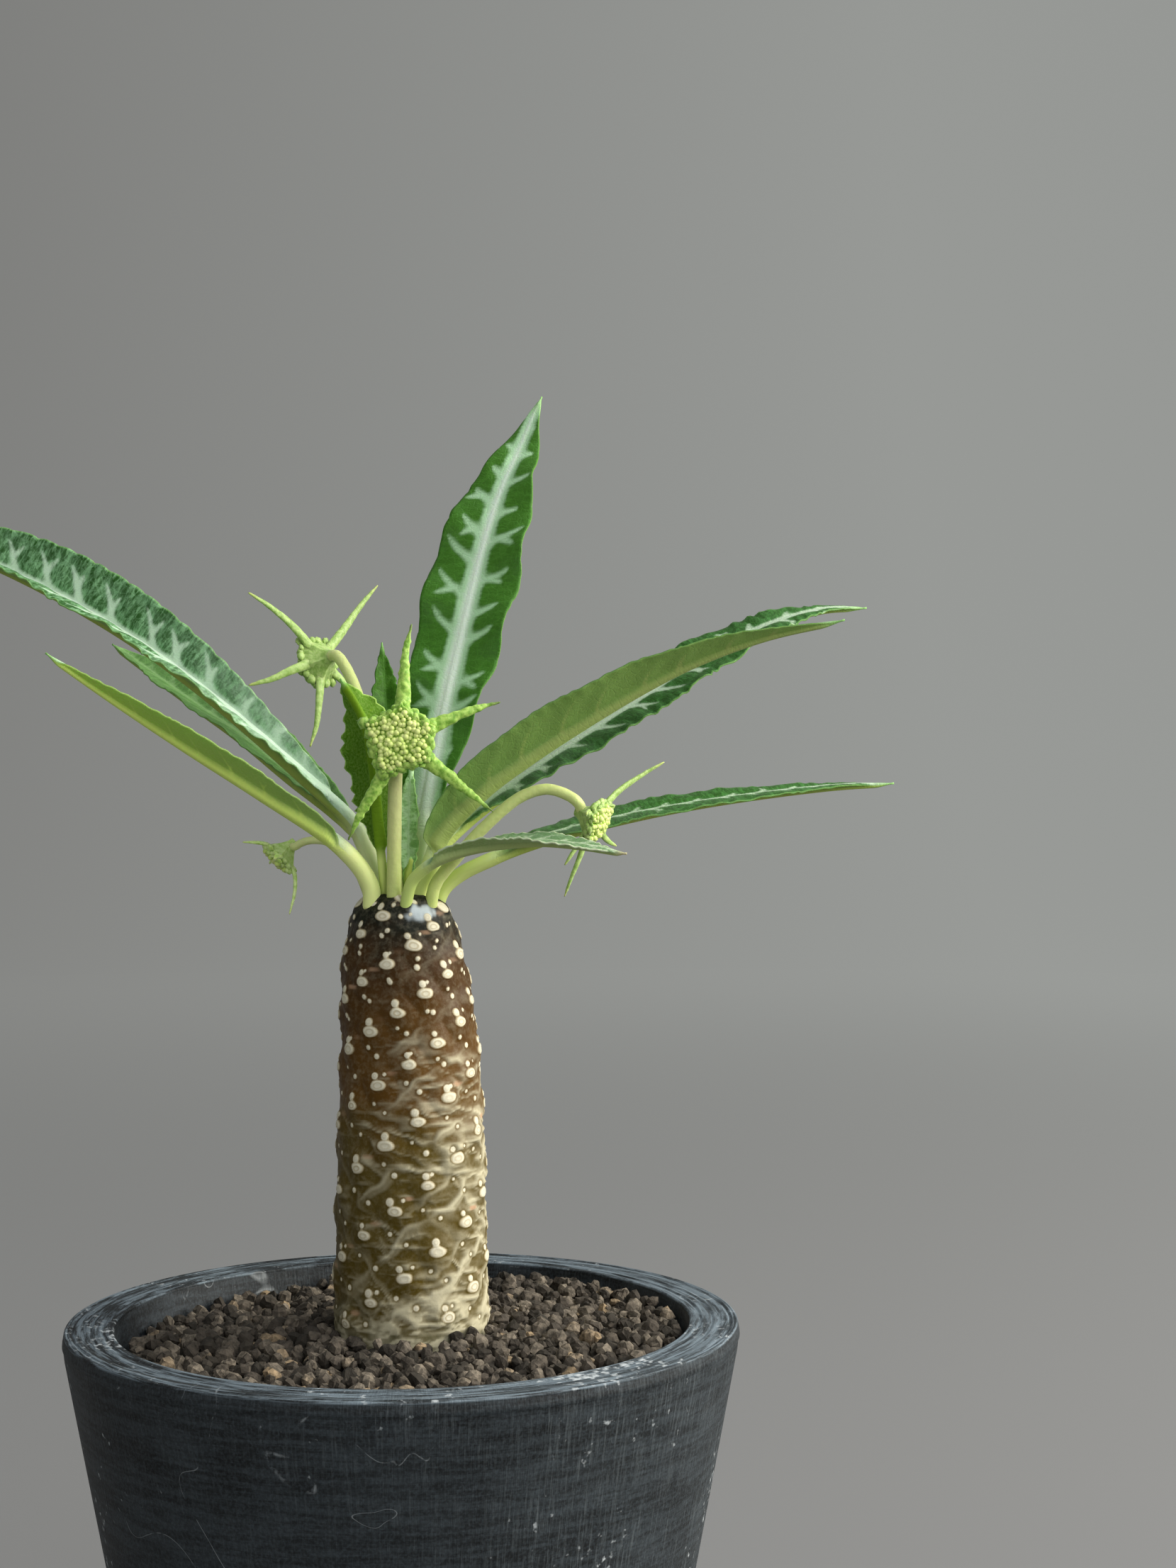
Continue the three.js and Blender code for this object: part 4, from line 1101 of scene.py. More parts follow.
    def corking(self, turn: Array, z: Array, around: Array) -> tuple[Array, Array]:
        """How thick the cork lies, and how old the skin is.

        Scars n apart in the spiral form n rows that wind round the stem, and a ridge runs
        where the wave that peaks along those rows is lowest: ((1 - cos(wave)) / 2) to a power
        that makes it narrow. Each set of rows has its n, that power and its strength. Cork is
        thickest on the side that faces the key light, by mean + swing·cos(azimuth from there),
        so that side is paler, partly from weathering and partly as painted light. A crust covers
        the foot.

        Args:
            turn: the azimuth of each column, in radians.
            z: the height of each point.
            around: each point's place on the plain stem.

        Returns:
            The cork from 0 to 1, and the age from 0.15 at the crown to 1.
        """
        scars = self.spiral()
        scars = scars[np.argsort(scars[:, 1])]
        rank = np.interp(z, scars[:, 1], np.arange(len(scars)))
        ahead = turn - np.radians(scars[0, 0])
        drift = 0.8 * noise(around * 0.2, 3) + 0.45 * noise(around * 0.55, 4)
        ridges = np.zeros(z.shape)
        # Paler cork on the side that faces the key light: partly weathering, partly painted light.
        bare_lit = self.bare_lit_mean + self.bare_lit_swing * np.cos(turn - np.radians(self.bare_lit_side))
        for n, (count, sharp, strength) in enumerate(self.cork_rows):
            step = (count * self.divergence + 180) % 360 - 180
            wave = count * ahead - np.radians(step) * rank + drift * (1.5 + 0.5 * n)
            crest = (0.5 - 0.5 * np.cos(wave)) ** sharp
            crest = crest + 0.5 * (0.5 - 0.5 * np.cos(wave * 2 + 1.9)) ** (sharp / 3)
            patchy = smoothstep(noise(around * 0.24 + 40, 11 + n), -0.6, 0.35)
            ridges = np.maximum(ridges, crest * strength * patchy)
        ridges = ridges * bare_lit
        age = 1 - 0.85 * smoothstep(z - 4 * bare_lit + 5 * noise(around * 0.2, 8), 104, 120)
        fine = 0.5 + 0.5 * noise(around * np.array([0.7, 0.7, 1.9]), 31)
        fine = 0.6 * fine + 0.4 * (0.5 + 0.5 * noise(around * np.array([1.7, 1.7, 3.6]), 32))
        crust = smoothstep(z - 4 * bare_lit + 2.6 * noise(around * 0.4, 9), 86, 77)
        streak = smoothstep(noise(around * np.array([0.35, 0.35, 1.5]) + 9, 33), 0.15, 0.8)
        flaky = 0.3 * fine + 0.62 * smoothstep(fine, 0.45, 0.62)
        # Pale scuffed cork on the side that faces the key light: partly scuffing, partly painted light.
        rubbed_and_lit = 0.28 * fine * smoothstep(bare_lit, 0.78, 1)
        cork = np.clip((ridges + 0.65 * streak * bare_lit + rubbed_and_lit) * age + crust * flaky, 0, 1)
        return cork, age

    def skin(self) -> Skin:
        """The stem's surface as a function of height and azimuth.

        The radius is the profile's, plus a cushion at each scar, the raised scars and the cork.

        Returns:
            The skin, with the marks "spots", "cork" and "film".
        """
        radius, height = self.rings()
        turn = full_turn(self.columns)
        size = np.maximum(radius, 0.5)[:, None]
        z = np.broadcast_to(height[:, None], (len(height), self.columns))
        around = polar(size, turn, z)
        shown = smoothstep(z, 80.5, 83.5) * (1 - smoothstep(z, 136.5, 138.6))

        rise, edge, within, tone, scuff = self.scarring(turn, z, size, around)
        plateau = smoothstep(-edge, -0.12, 0.22)
        dish = np.clip(1 - within, 0, 1) ** 1.5
        relief = rise + 0.2 * plateau - 0.11 * dish * (edge < 0)

        cork, age = self.corking(turn, z, around)
        clear = smoothstep(edge, -0.1, 0.4)
        relief = relief + (0.3 * cork + 0.14 * noise(around * 0.45, 12)) * clear * (0.4 + 0.6 * age)
        crown = smoothstep(z, 136.8, 138.7)
        relief = relief * shown + 0.5 * crown * noise(around * 0.75, 14)

        out = radius[:, None] + relief * np.minimum(radius / 3, 1)[:, None]
        rows = polar(out, turn, z + crown * 0.35 * noise(around * 0.9, 15))
        rows[..., 0] += self.axis(z)
        spots = np.stack([edge, np.clip(within, 0, 3), tone], -1)
        # A pale bluish band on the shoulder towards the front right is a painted highlight.
        offset = (np.degrees(turn) - self.film[0] + 180) % 360 - 180
        away = np.hypot(offset / self.film[2], (z - self.film[1]) / self.film[3])
        film = 0.85 * smoothstep(away + 0.35 * noise(around * 1.6, 16), 1.1, 0.5)
        corks = np.stack([cork * clear, scuff * shown * clear, z], -1)
        return Skin.tube(rows, {"spots": spots, "cork": corks, "film": film})

    def build(self) -> bpy.types.Object:
        """The dressed stem."""
        return self.skin().made("scarred_stem", CorkedStem())


@dataclass
class GravelBed:
    """Grains of grit over a filled body, level with the rim and banked against the stem.

    Each layer of grains has its spacing, how deep they sink, and their least and largest half
    size.
    """

    pot: TurnedPot
    stem: ScarredStem
    level: float = 79.0
    tilt: float = 1.5
    tilt_azimuth: float = 25.0
    mound: float = 1.6
    mound_reach: float = 9.0
    gap: float = 0.35
    layers: tuple[tuple, ...] = ((1.62, 0.45, (0.72, 1.32)), (2.5, -0.35, (0.85, 1.45)))
    columns: int = 96
    seed: int = 11

    def surface(self, x: Array, y: Array) -> Array:
        """Height of the grains: a plane that tilts, plus a bank exp(-(d/reach)²) at the stem."""
        turn = np.radians(self.tilt_azimuth)
        across = (x * np.cos(turn) + y * np.sin(turn)) / self.pot.inner_radius(self.level)
        away = np.hypot(x - self.stem.lean, y) - self.stem.radius(self.level)
        bank = self.mound * np.exp(-(np.maximum(away, 0) / self.mound_reach) ** 2)
        return self.level + self.tilt * across + bank

    def body(self) -> Skin:
        """The bed under the loose grains, a ring profile carried round the pot's axis.

        It starts under the taproot, rises along it, runs out over the top and goes down the
        pot's wall to the floor.

        Returns:
            The skin, dark all over: painted shade for the deep gaps between the grains.
        """
        turn = full_turn(self.columns)
        root = np.linspace(self.stem.heights[0], 76, 8)
        rows = [(0.01, root[0] - 0.6, 0.0)]
        rows += [(float(self.stem.radius(z)) + 0.3, z - (0.6 if z == root[0] else 0), 1.0) for z in root]
        top = np.linspace(self.stem.radius(78) + 0.3, self.pot.inner_radius(77) - self.gap, 26)
        low = self.pot.floor + 0.3
        ring = []
        for radius, z, share in rows:
            ring.append(polar(radius, turn, z) + np.array([self.stem.lean * share, 0, 0]))
        for n, radius in enumerate(top):
            lean = self.stem.lean * (1 - n / (len(top) - 1))
            x, y = lean + radius * np.cos(turn), radius * np.sin(turn)
            z = self.surface(x, y) - 1.5
            z = z + 0.5 * noise(np.stack([x, y, 0 * x], -1) * 0.8, 5) * (0 < n < len(top) - 1)
            ring.append(np.stack([x, y, z], -1))
        ring += [polar(self.pot.inner_radius(z) - self.gap, turn, z) for z in np.linspace(74, low, 8)]
        ring.append(polar(0.01, turn, low))
        rows = np.stack(ring[::-1])
        # The bed's dark tone is painted shade of the gaps between grains.
        return Skin.tube(rows, {"tone": np.full(rows.shape[:2], 0.05)})

    def places(self, random: np.random.Generator, spacing: float) -> Array:
        """Middles of grains: a triangular lattice, each nudged by up to 0.4 of its spacing.

        Args:
            random: the seeded source of the nudges.
            spacing: from one grain to the next.

        Returns:
            Their x and y, kept off the stem and the wall.
        """
        reach = 46.0
        steps = np.arange(-reach, reach, spacing)
        x, y = np.meshgrid(steps, steps * 0.866)
        x = x + (np.arange(len(steps)) % 2)[:, None] * spacing / 2
        x = x + random.uniform(-0.4, 0.4, x.shape) * spacing
        y = y + random.uniform(-0.4, 0.4, y.shape) * spacing
        away = np.hypot(x - self.stem.lean, y) - self.stem.radius(80)
        kept = (np.hypot(x, y) < self.pot.inner_radius(self.level) - 1.2) & (away > 0.55)
        return np.stack([x[kept], y[kept]], -1)

    def grains(self) -> Skin:
        """Broken crumbs: a ball cut flat by random planes and roughened.

        A crumb's radius in a direction d is the least of 1 and h / (d·n) over its planes,
        each with its own normal n and distance h, times one plus a share of noise.

        Returns:
            The skin, with each grain's tone.
        """
        random = np.random.default_rng(self.seed)
        ways, quads = ball(2)
        parts = []
        for spacing, sink, sizes in self.layers:
            place = self.places(random, spacing)
            count = len(place)
            normals = random.normal(size=(count, 9, 3))
            normals /= np.linalg.norm(normals, axis=2)[..., None]
            facing = np.einsum("vk,npk->nvp", ways, normals)
            depth = random.uniform(0.55, 0.95, (count, 1, 9))
            cut = np.where(facing > 0.05, depth / np.maximum(facing, 0.05), 9).min(axis=2)
            radius = np.minimum(1, cut) * random.uniform(0.88, 1.08, (count, len(ways)))
            half = random.uniform(*sizes, (count, 1)) * random.uniform(0.75, 1.2, (count, 3))
            z = self.surface(*place.T) - sink + random.uniform(-0.35, 0.35, count)
            centres = np.column_stack([place, z])
            turns = random_turns(count, random)
            parts.append(lumps(centres, half, turns, ways[None] * radius[..., None], quads))
        return Skin.joined(parts)

    def build(self) -> bpy.types.Object:
        """The dressed gravel."""
        return Skin.joined([self.body(), self.grains()]).made("gravel", VolcanicGrit(), smooth=False)


# Leaves


class LeafLook(Enum):
    """How old a leaf is, and so how it is coloured."""

    FULL = LeafSkin("leaf_full_grown")
    FROSTED = LeafSkin("leaf_frosted", dark="#1f4c12", mottle="#79a678", vein="#c4dcc2", mid="#d9ead4",
                       under="#8aa45a", stalk="#e8f4b8", mottling=0.75, frost=0.88, edging=0.4)
    DEEP = LeafSkin("leaf_deep_green", dark="#3a6c18", mottle="#508a2e", vein="#b2daac",
                    mid="#f0ffec", stalk="#d8eab8",
                    mottling=0.35, edging=0.0, frost=0.0, fading=0.3)
    PLAIN = LeafSkin("leaf_plain", dark="#436a30", mottle="#5c8644", vein="#7f9f6d", mid="#a3bd86",
                     under="#5f8046", mottling=0.5, veining=0.35, frost=0.0)
    OLIVE = LeafSkin("leaf_turned_up", under="#74944a", under_tip="#86a850", keel="#9aae60",
                     edging=0.25)
    LIME = LeafSkin("leaf_lime", under="#8cb05a", under_tip="#aed848", keel="#d2ea74", stalk="#e0ec98",
                    margin="#c2d48c", edging=0.25)
    FOLDED = LeafSkin("leaf_folded", dark="#447c00", mottle="#6cae18", vein="#a4cc58", mid="#aed068",
                      margin="#b4d474", under="#3c6400", under_tip="#487400", keel="#688c1c",
                      mottling=0.6, veining=0.6, edging=0.6, frost=0.0, gloss=0.1)
    DUSKY = LeafSkin("leaf_dusky", dark="#2a520a", mottle="#3c6a18", vein="#4a762c", mid="#54802e",
                     under="#315416", under_tip="#3e661c", keel="#64843a", mottling=0.5, veining=0.5,
                     edging=0.15, frost=0.0, gloss=0.1)
    GREYED = LeafSkin("leaf_greyed", dark="#5a7d50", mottle="#7f9f76", vein="#c8d8b8", mid="#d6e2c4",
                      margin="#d0dcb8", edging=0.8, under="#8ca65c", under_tip="#8fae70", keel="#a6b874",
                      stalk="#b8cc72", tip="#b3a882", mottling=0.4, veining=0.7)
    YOUNG = LeafSkin("leaf_young", dark="#74a858", mottle="#b4dc9c", vein="#bcdcac", mid="#cce8bc",
                     margin="#7fae5c", mottling=0.85, veining=0.75, frost=0.0)


ROW = 0.42
COLUMNS = 19


@dataclass
class Leaf:
    """A leaf on its stalk: a crisped blade that folds up from a raised midrib.

    The spine's stations hold reach, height and stray, and the first share of it, stalk, has no
    blade. The blade is widest at its peak. Its halves, left and right, fold up by angles in
    degrees at the base and at the tip. The margin's waves rise by a height on each half, and
    its teeth have a pitch and a depth. The pale band on the midrib has a half width at the base
    and at the tip. Side veins lean and bow towards the tip and reach a share of the way out.
    """

    name: str
    base: tuple[float, float]
    azimuth: float
    spine: Stations
    stalk: float
    half_width: float
    peak: float
    left: tuple[float, float]
    right: tuple[float, float]
    waves: int
    rise: tuple[float, float]
    phase: float
    rib_radius: float
    look: LeafLook = LeafLook.FULL
    band: tuple[float, float] = (1.3, 0.35)
    vein_pitch: float = 5.0
    vein_lean: tuple[float, float] = (0.9, 0.9)
    vein_bow: float = 0.045
    vein_reach: float = 0.72
    vein_half: float = 0.42
    forked: float = 0.3
    tooth: tuple[float, float] = (2.4, 0.3)
    crisp: float = 0.22
    quilt: float = 0.2
    seed: int = 1

    def half_widths(self, share: Array) -> Array:
        """Half width of the blade at a share of its length.

        A sine of the warped share, so that it is widest at the peak, to a power that makes
        it blunt at the base and drawn out at the tip.
        """
        warp = np.log(0.5) / np.log(self.peak)
        swell = np.sin(np.pi * np.clip(share, 1e-6, 1) ** warp).clip(0) ** lerp(0.65, 1.1, share)
        return self.half_width * swell

    def veins(self, way: int, along: Array, across: Array, width: Array, length: float) -> Array:
        """Distance from the edge of the nearest side vein of one half of the blade.

        A vein leaves the midrib at its own place, leans towards the tip along
        lean·x + bow·x², and thins to nothing at its reach. Some fork: a shorter arm leaves
        them part of the way out and leans back.

        Args:
            way: 1 on the left half and -1 on the right.
            along: millimetres along the blade.
            across: millimetres from the midrib.
            width: the blade's half width there.
            length: the blade's length.

        Returns:
            Millimetres outside the nearest vein, negative in it.
        """
        random = np.random.default_rng(self.seed * 10 + (way > 0))
        found = [np.full(across.shape, 6.0)]
        for n in range(int(length / self.vein_pitch) + 1):
            chance = random.random(8)
            start = self.vein_pitch * (n + 0.1 + 0.3 * (way > 0) + 0.3 * (chance[0] - 0.5))
            lean = self.vein_lean[0 if way > 0 else 1] * (0.8 + 0.4 * chance[1])
            half = self.vein_half * (0.75 + 0.5 * chance[2])
            reach = self.vein_reach * (0.78 + 0.44 * chance[3])
            slope = lean + 2 * self.vein_bow * across
            apart = np.abs(along - start - lean * across - self.vein_bow * across ** 2)
            over = across / np.maximum(width * reach, 0.3)
            edge = apart / np.sqrt(1 + slope ** 2) - half * np.sqrt(np.clip(1 - over, 0, 1))
            found.append(edge + np.clip(over - 1, 0, None) * width * 0.8)
            if chance[4] < self.forked:
                out = self.half_width * (0.26 + 0.16 * chance[5])
                origin = start + lean * out + self.vein_bow * out ** 2
                back = -0.55 + 0.5 * chance[6]
                apart = np.abs(along - origin - back * (across - out)) / np.sqrt(1 + back ** 2)
                over = (across - out) / (self.half_width * (0.22 + 0.14 * chance[7]))
                edge = apart - 0.8 * half * np.sqrt(np.clip(1 - over, 0, 1))
                edge = edge + np.clip(over - 1, 0, None) * 1.5 + np.clip(out - across, 0, None)
                found.append(edge)
        return soft_min(found, 0.16)

    def half(self, way: int, blade: Array, along: Array, length: float, rib: Array) -> dict[str, Array]:
        """One half of the blade, from the midrib to the margin, as rows by columns.

        The sheet is flat over the rib and then turns up by the leaf's angle. It is lifted by
        the margin's wave, by a fine crisp of the teeth's pitch, and by the quilting between
        side veins. The margin has rounded teeth.

        Args:
            way: 1 on the left half and -1 on the right.
            blade: share of the blade's length at each row, as rows by one.
            along: millimetres along the blade, as rows by one.
            length: the blade's length.
            rib: the midrib's radius at each row.

        Returns:
            Where the sheet is to the left and up, the angle of its face, its lift, and what
            its marks need.
        """
        side = 0 if way > 0 else 1
        pitch, depth = self.tooth
        wander = 0.35 * noise(np.stack([along * 0.4, 0 * along + way * 9, 0 * along], -1), self.seed)
        notch = np.abs(np.sin(np.pi * (along / pitch + wander + 0.3 * side))) ** 0.55
        plain = self.half_widths(blade)
        width = plain - depth * (1 - notch) * np.minimum(plain / self.half_width * 1.6, 1)
        width = np.maximum(width, 0.12)
        column = np.linspace(0, 1, COLUMNS + 1) ** 1.25
        across = width * column
        angles = self.left if way > 0 else self.right
        fold = np.radians(lerp(angles[0], angles[1], blade)) * smoothstep(across, 0, 0.9 * rib)
        middle = (fold[:, 1:] + fold[:, :-1]) / 2
        step = np.diff(across, axis=1)
        zero = np.zeros((len(across), 1))
        out = np.hstack([zero, np.cumsum(np.cos(middle) * step, axis=1)])
        up = np.hstack([zero, np.cumsum(np.sin(middle) * step, axis=1)])
        turns = self.waves * blade + self.phase + (0 if way > 0 else 0.37)
        wave = self.rise[side] * (plain / self.half_width) * column ** 1.5 * np.sin(2 * np.pi * turns)
        crisp = self.crisp * column ** 5 * np.sin(2 * np.pi * (along / pitch / 1.5 + 2 * wander))
        crisp = crisp * np.minimum(plain / self.half_width * 2, 1)
        vein = self.veins(way, along, across, width, length)
        puff = self.quilt * smoothstep(vein, 0, 1.5) * smoothstep(across, rib, rib + 1.2)
        puff = puff * (1 - 0.8 * column ** 4)
        return {
            "left": way * out, "up": up, "fold": way * fold, "lift": wave + crisp + puff,
            "across": across, "signed": way * across, "vein": vein, "rim": width - across,
            "width": np.broadcast_to(width, across.shape), "column": way * column + 0 * across,
        }

    def build(self) -> bpy.types.Object:
        """Make the leaf as one closed skin round its blade, rib and stalk.

        Each ring goes over the upper face from the left margin to the right and back under.
        The upper face stands half the thickness over the sheet, or on the rib's arch where
        that is higher, and the lower face the same way down. On the stalk, where the blade
        is narrower than the rib, the ring is a circle of the rib's radius.

        Returns:
            The dressed leaf.
        """
        route = Route(*Route.stations(self.base, self.azimuth, self.spine))
        share = np.linspace(0, 1, round(route.length / ROW))
        point, normal, left = (a[:, None] for a in route.frames(share))
        share = share[:, None]
        blade = np.clip((share - self.stalk) / (1 - self.stalk), 0, 1)
        length = route.length * (1 - self.stalk)
        along = blade * length
        rib = lerp(self.rib_radius, 0.35, blade ** 0.8) * (1 - 0.75 * smoothstep(blade, 0.95, 1))
        sink = 0.55 * rib * smoothstep(share, 0, self.stalk)

        halves = [self.half(way, blade, along, length, rib) for way in (1, -1)]
        grid = {key: np.hstack([halves[0][key][:, :0:-1], halves[1][key]]) for key in halves[0]}
        across, width = grid["across"], grid["width"]
        thick = lerp(0.25, 0.08, np.abs(grid["column"]) ** 1.5)
        arch = np.sqrt(np.clip(rib ** 2 - across ** 2, 0, None))
        near = 1 - smoothstep(across, 0.92 * rib, 1.3 * rib)
        heights = (soft_max(thick, arch - sink, 0.1), -soft_max(thick, (sink + arch) * near, 0.1))
        flat = smoothstep(width / rib, 1.0, 1.9)
        angle = np.abs(grid["column"]) * (np.pi / 2) * COLUMNS / (COLUMNS + 0.5)
        turned = np.sign(grid["column"]) * np.sin(angle) * rib
        faces, sheets, marks = [], [], []
        edge = across - lerp(self.band[0], self.band[1], blade ** 0.8)
        tops = soft_min([edge, grid["vein"]], 0.3)
        keel = across - 1.02 * rib
        part = np.broadcast_to((share - self.stalk) / (1 - self.stalk), across.shape)
        for face, height in zip((1, -1), heights):
            lift = grid["lift"] + height
            x = grid["left"] - np.sin(grid["fold"]) * lift
            y = grid["up"] + np.cos(grid["fold"]) * lift
            x = lerp(turned, x, flat)[..., None]
            y = lerp(face * np.cos(angle) * rib - sink, y, flat)[..., None]
            faces.append(point + left * x + normal * y)
            sheets.append(np.stack([along + 0 * across, grid["signed"], (face > 0) + 0 * across], -1))
            near_edge = tops if face > 0 else soft_min([keel, grid["vein"] + 0.12], 0.12)
            marks.append(np.stack([near_edge, grid["rim"] * flat + 2 * (1 - flat), part], -1))
        rings, sheet, mark = (np.concatenate([a[0], a[1][:, ::-1]], axis=1)
                              for a in (faces, sheets, marks))
        skin = Skin.tube(rings, {"sheet": sheet + np.array([0, self.seed * 40.0, 0]), "marks": mark})
        return skin.made(f"{self.name}_blade", self.look.value)


# Flower heads


class FlowerLook(Enum):
    """How strongly a flower head is coloured. The brightened look paints light on a head that faces away
    from the lamps.
    """

    FRESH = FlowerFlesh("flower_head_fresh")
    PALE = FlowerFlesh("flower_head_pale", deep="#86a84e", fresh="#a9c472", tip="#a9b864",
                       stalk="#c9d488")
    # Brightened copy of the head's colours for a head in shade: painted light.
    YELLOWED = FlowerFlesh("flower_head_brightened", deep="#b4d86c", fresh="#d8f0a0", tip="#c8dc88",
                           stalk="#e0e8a0")


@dataclass
class FlowerHead:
    """A stalked flower head: a bumpy green disc with long arms and a face of florets.

    The stalk's stations hold reach, height and stray. Each arm has its angle on the face in
    degrees, its length from the centre, and how far its tip bends forward.
    """

    name: str
    base: tuple[float, float]
    azimuth: float
    stalk: Stations
    stalk_radius: tuple[float, float]
    centre: tuple[float, float, float]
    facing: tuple[float, float, float]
    radius: float
    arm_radius: float
    arms: Stations
    plate: float = 1.2
    cone: float = 2.2
    bed: float = 0.35
    waist: float = 0.66
    rim: float = 0.55
    bead: float = 0.4
    rough: float = 1.0
    taper: float = 0.82
    look: FlowerLook = FlowerLook.FRESH
    columns: int = 144
    pad_columns: int = 96
    seed: int = 5

    def axes(self) -> Array:
        """The head's right, top and facing directions, as rows."""
        facing = np.array(self.facing) / np.linalg.norm(self.facing)
        top = np.array([0, 0, 1]) - facing[2] * facing
        top /= np.linalg.norm(top)
        return np.array([np.cross(top, facing), top, facing])

    def placed(self, points: Array) -> Array:
        """Points from the head's own frame to their place on the plant."""
        return points @ self.axes() + np.array(self.centre)

    def outline(self, turn: Array) -> Array:
        """Radius of the face at an angle: a corner at each arm, hollow between two of them.

        Between corners a and b the radius is the circle's, less (1 - waist)/2 of it times
        sin(π·share)^0.65, which leaves the corners pointed.

        Args:
            turn: angles from the face's right, in radians.

        Returns:
            The radius at each.
        """
        corners = np.sort(np.radians([arm[0] for arm in self.arms]) % (2 * np.pi))
        fence = np.concatenate([corners[-1:] - 2 * np.pi, corners, corners[:1] + 2 * np.pi])
        turn = turn % (2 * np.pi)
        slot = np.clip(np.searchsorted(fence, turn, side="right") - 1, 0, len(fence) - 2)
        share = (turn - fence[slot]) / (fence[slot + 1] - fence[slot])
        spread = np.clip((fence[slot + 1] - fence[slot]) / 1.256, 0.5, 1.5)
        return self.radius * (1 - (1 - self.waist) * 0.75 * spread * np.sin(np.pi * share) ** 0.65)

    def body(self) -> Skin:
        """The disc and its back: the outline carried through a profile from face to stalk.

        At each step of the profile the ring is the outline, scaled and sunk. Lobes of 0.9 mm
        scallop the rim, and noise of 0.7 mm roughens all of it.

        Returns:
            The skin in the plant's place.
        """
        turn = full_turn(self.columns)
        lobes = np.abs(np.sin(turn * self.radius * np.pi / 0.95 + 0.7 * np.sin(3 * turn)))
        outline = self.outline(turn)
        neck = self.stalk_radius[1] * 1.05
        steps = ((0.0, -0.15, 0.0), (0.5, -0.15, 0.0), (0.86, -0.1, 0.1), (0.95, 0.1, 0.5),
                 (1.0, 0.12, 1.0), (1.04, -0.1, 1.0), (1.02, -0.45, 0.9), (0.94, -0.85, 0.6),
                 (0.8, -1.2, 0.3))
        rows = [polar(outline * size * (1 + 0.05 * scallop * (lobes - 0.5)), turn,
                      z + 0.35 * scallop * lobes) for size, z, scallop in steps]
        depth = self.bed + self.plate / 2 + self.cone
        for share in np.linspace(0.12, 1, 9):
            fade = (1 - share) ** 1.6
            radius = lerp(neck, outline * 0.8, fade)
            z = lerp(-1.2, -depth - 0.3, share)
            rows.append(polar(radius, turn, z))
        rings = np.stack(rows)
        rough = noise(rings * 1.5, self.seed) * 0.16 + noise(rings * 3.1, self.seed + 1) * 0.07
        rough = rough * self.rough
        scale = np.minimum(np.linalg.norm(rings[..., :2], axis=-1) / 2, 1)
        rings = rings * (1 + rough * scale / self.radius * 1.4)[..., None]
        rings = self.placed(rings[::-1])
        return Skin.tube(rings, {"kind": np.zeros(rings.shape)})

    def ruffle(self) -> Skin:
        """Fleshy lobes along the rim: flattened balls on the outline, in two loose rows.

        Returns:
            The skin in the plant's place.
        """
        random = np.random.default_rng(self.seed)
        count = round(self.radius * 4.2) * 2
        turn = (np.arange(count) + random.uniform(-0.3, 0.3, count)) / count * 2 * np.pi
        outer = np.arange(count) % 2
        radius = self.outline(turn) * np.where(outer, 1.08, 1.0)
        z = np.where(outer, -0.4, -0.05) + random.uniform(-0.12, 0.14, count)
        centres = polar(radius, turn, z)
        along = np.stack([-np.sin(turn), np.cos(turn), 0 * turn], -1)
        out = polar(1.0, turn, 0.0)
        up = np.broadcast_to([0.0, 0, 1], out.shape)
        tilt = random.uniform(-0.8, 0.8, (count, 1)) * self.rough
        outward = np.cos(tilt) * out + np.sin(tilt) * up
        upward = np.cos(tilt) * up - np.sin(tilt) * out
        turns = np.stack([along, outward, upward], 1)
        half = random.uniform(0.7, 1.35, (count, 1)) * np.array([0.64, 0.62, 0.4])
        half = half * (self.radius / 4.8) ** 0.4
        ways, quads = ball(4)
        shapes = ways[None] * (1 + 0.26 * noise(ways * 2.2 + turn[:, None, None] * 9, 3))[..., None]
        skin = lumps(centres, half, turns, shapes, quads)
        return Skin(self.placed(skin.points), skin.faces, {"kind": np.zeros((len(skin.points), 3))})

    def arm(self, angle: float, length: float, lift: float, seed: int) -> Skin:
        """One arm: a flattened rod that tapers as (1 - share)^taper to a fine bent tip.

        Args:
            angle: where it leaves the disc, in degrees from the face's right.
            length: from the centre to the tip.
            lift: how far the tip bends towards the face.
            seed: picks its lumps.

        Returns:
            The skin in the plant's place.
        """
        turn = np.radians(angle)
        out = polar(1.0, turn, 0.0)
        side = np.array([-np.sin(turn), np.cos(turn), 0])
        root = self.radius * 0.5
        share = np.array([0, 0.35, 0.7, 1.0])[:, None]
        depth = -self.arm_radius * 0.85 - self.bed
        stations = out * lerp(root, length, share) + np.array([0, 0, 1]) * (lift * share ** 2 + depth)
        sway = 0.35 * np.sin(share * 5 + seed) * share
        route = Route(stations + side * sway, side)
        run = np.linspace(0, 1, max(round(route.length / 0.17), 20))
        wide = lerp(0.07, self.arm_radius * 1.25, (1 - run) ** self.taper)
        thick = lerp(0.07, self.arm_radius * 0.75, (1 - run) ** self.taper)
        skin = route.tube(run, wide, thick, 24, 0.1 * self.rough, seed)
        share = skin.marks["share"]
        kind = np.stack([0 * share, share, 0 * share], -1)
        return Skin(self.placed(skin.points), skin.faces, {"kind": kind})

    def stem(self) -> Skin:
        """The stalk, from the crown to the heel of the head's cone.

        Returns:
            The skin.
        """
        points, side = Route.stations(self.base, self.azimuth, self.stalk)
        depth = self.bed + self.plate / 2 + self.cone - 0.6
        heel = self.placed(np.array([[0.0, 0, -depth]]))
        route = Route(np.concatenate([points, heel]), side)
        run = np.linspace(0, 1, round(route.length / 0.35))
        radius = lerp(self.stalk_radius[0], self.stalk_radius[1], run)
        skin = route.tube(run, radius, radius, 28, 0.03, self.seed)
        share = skin.marks["share"]
        return Skin(skin.points, skin.faces, {"kind": np.stack([0 * share + 1, 0 * share, share], -1)})

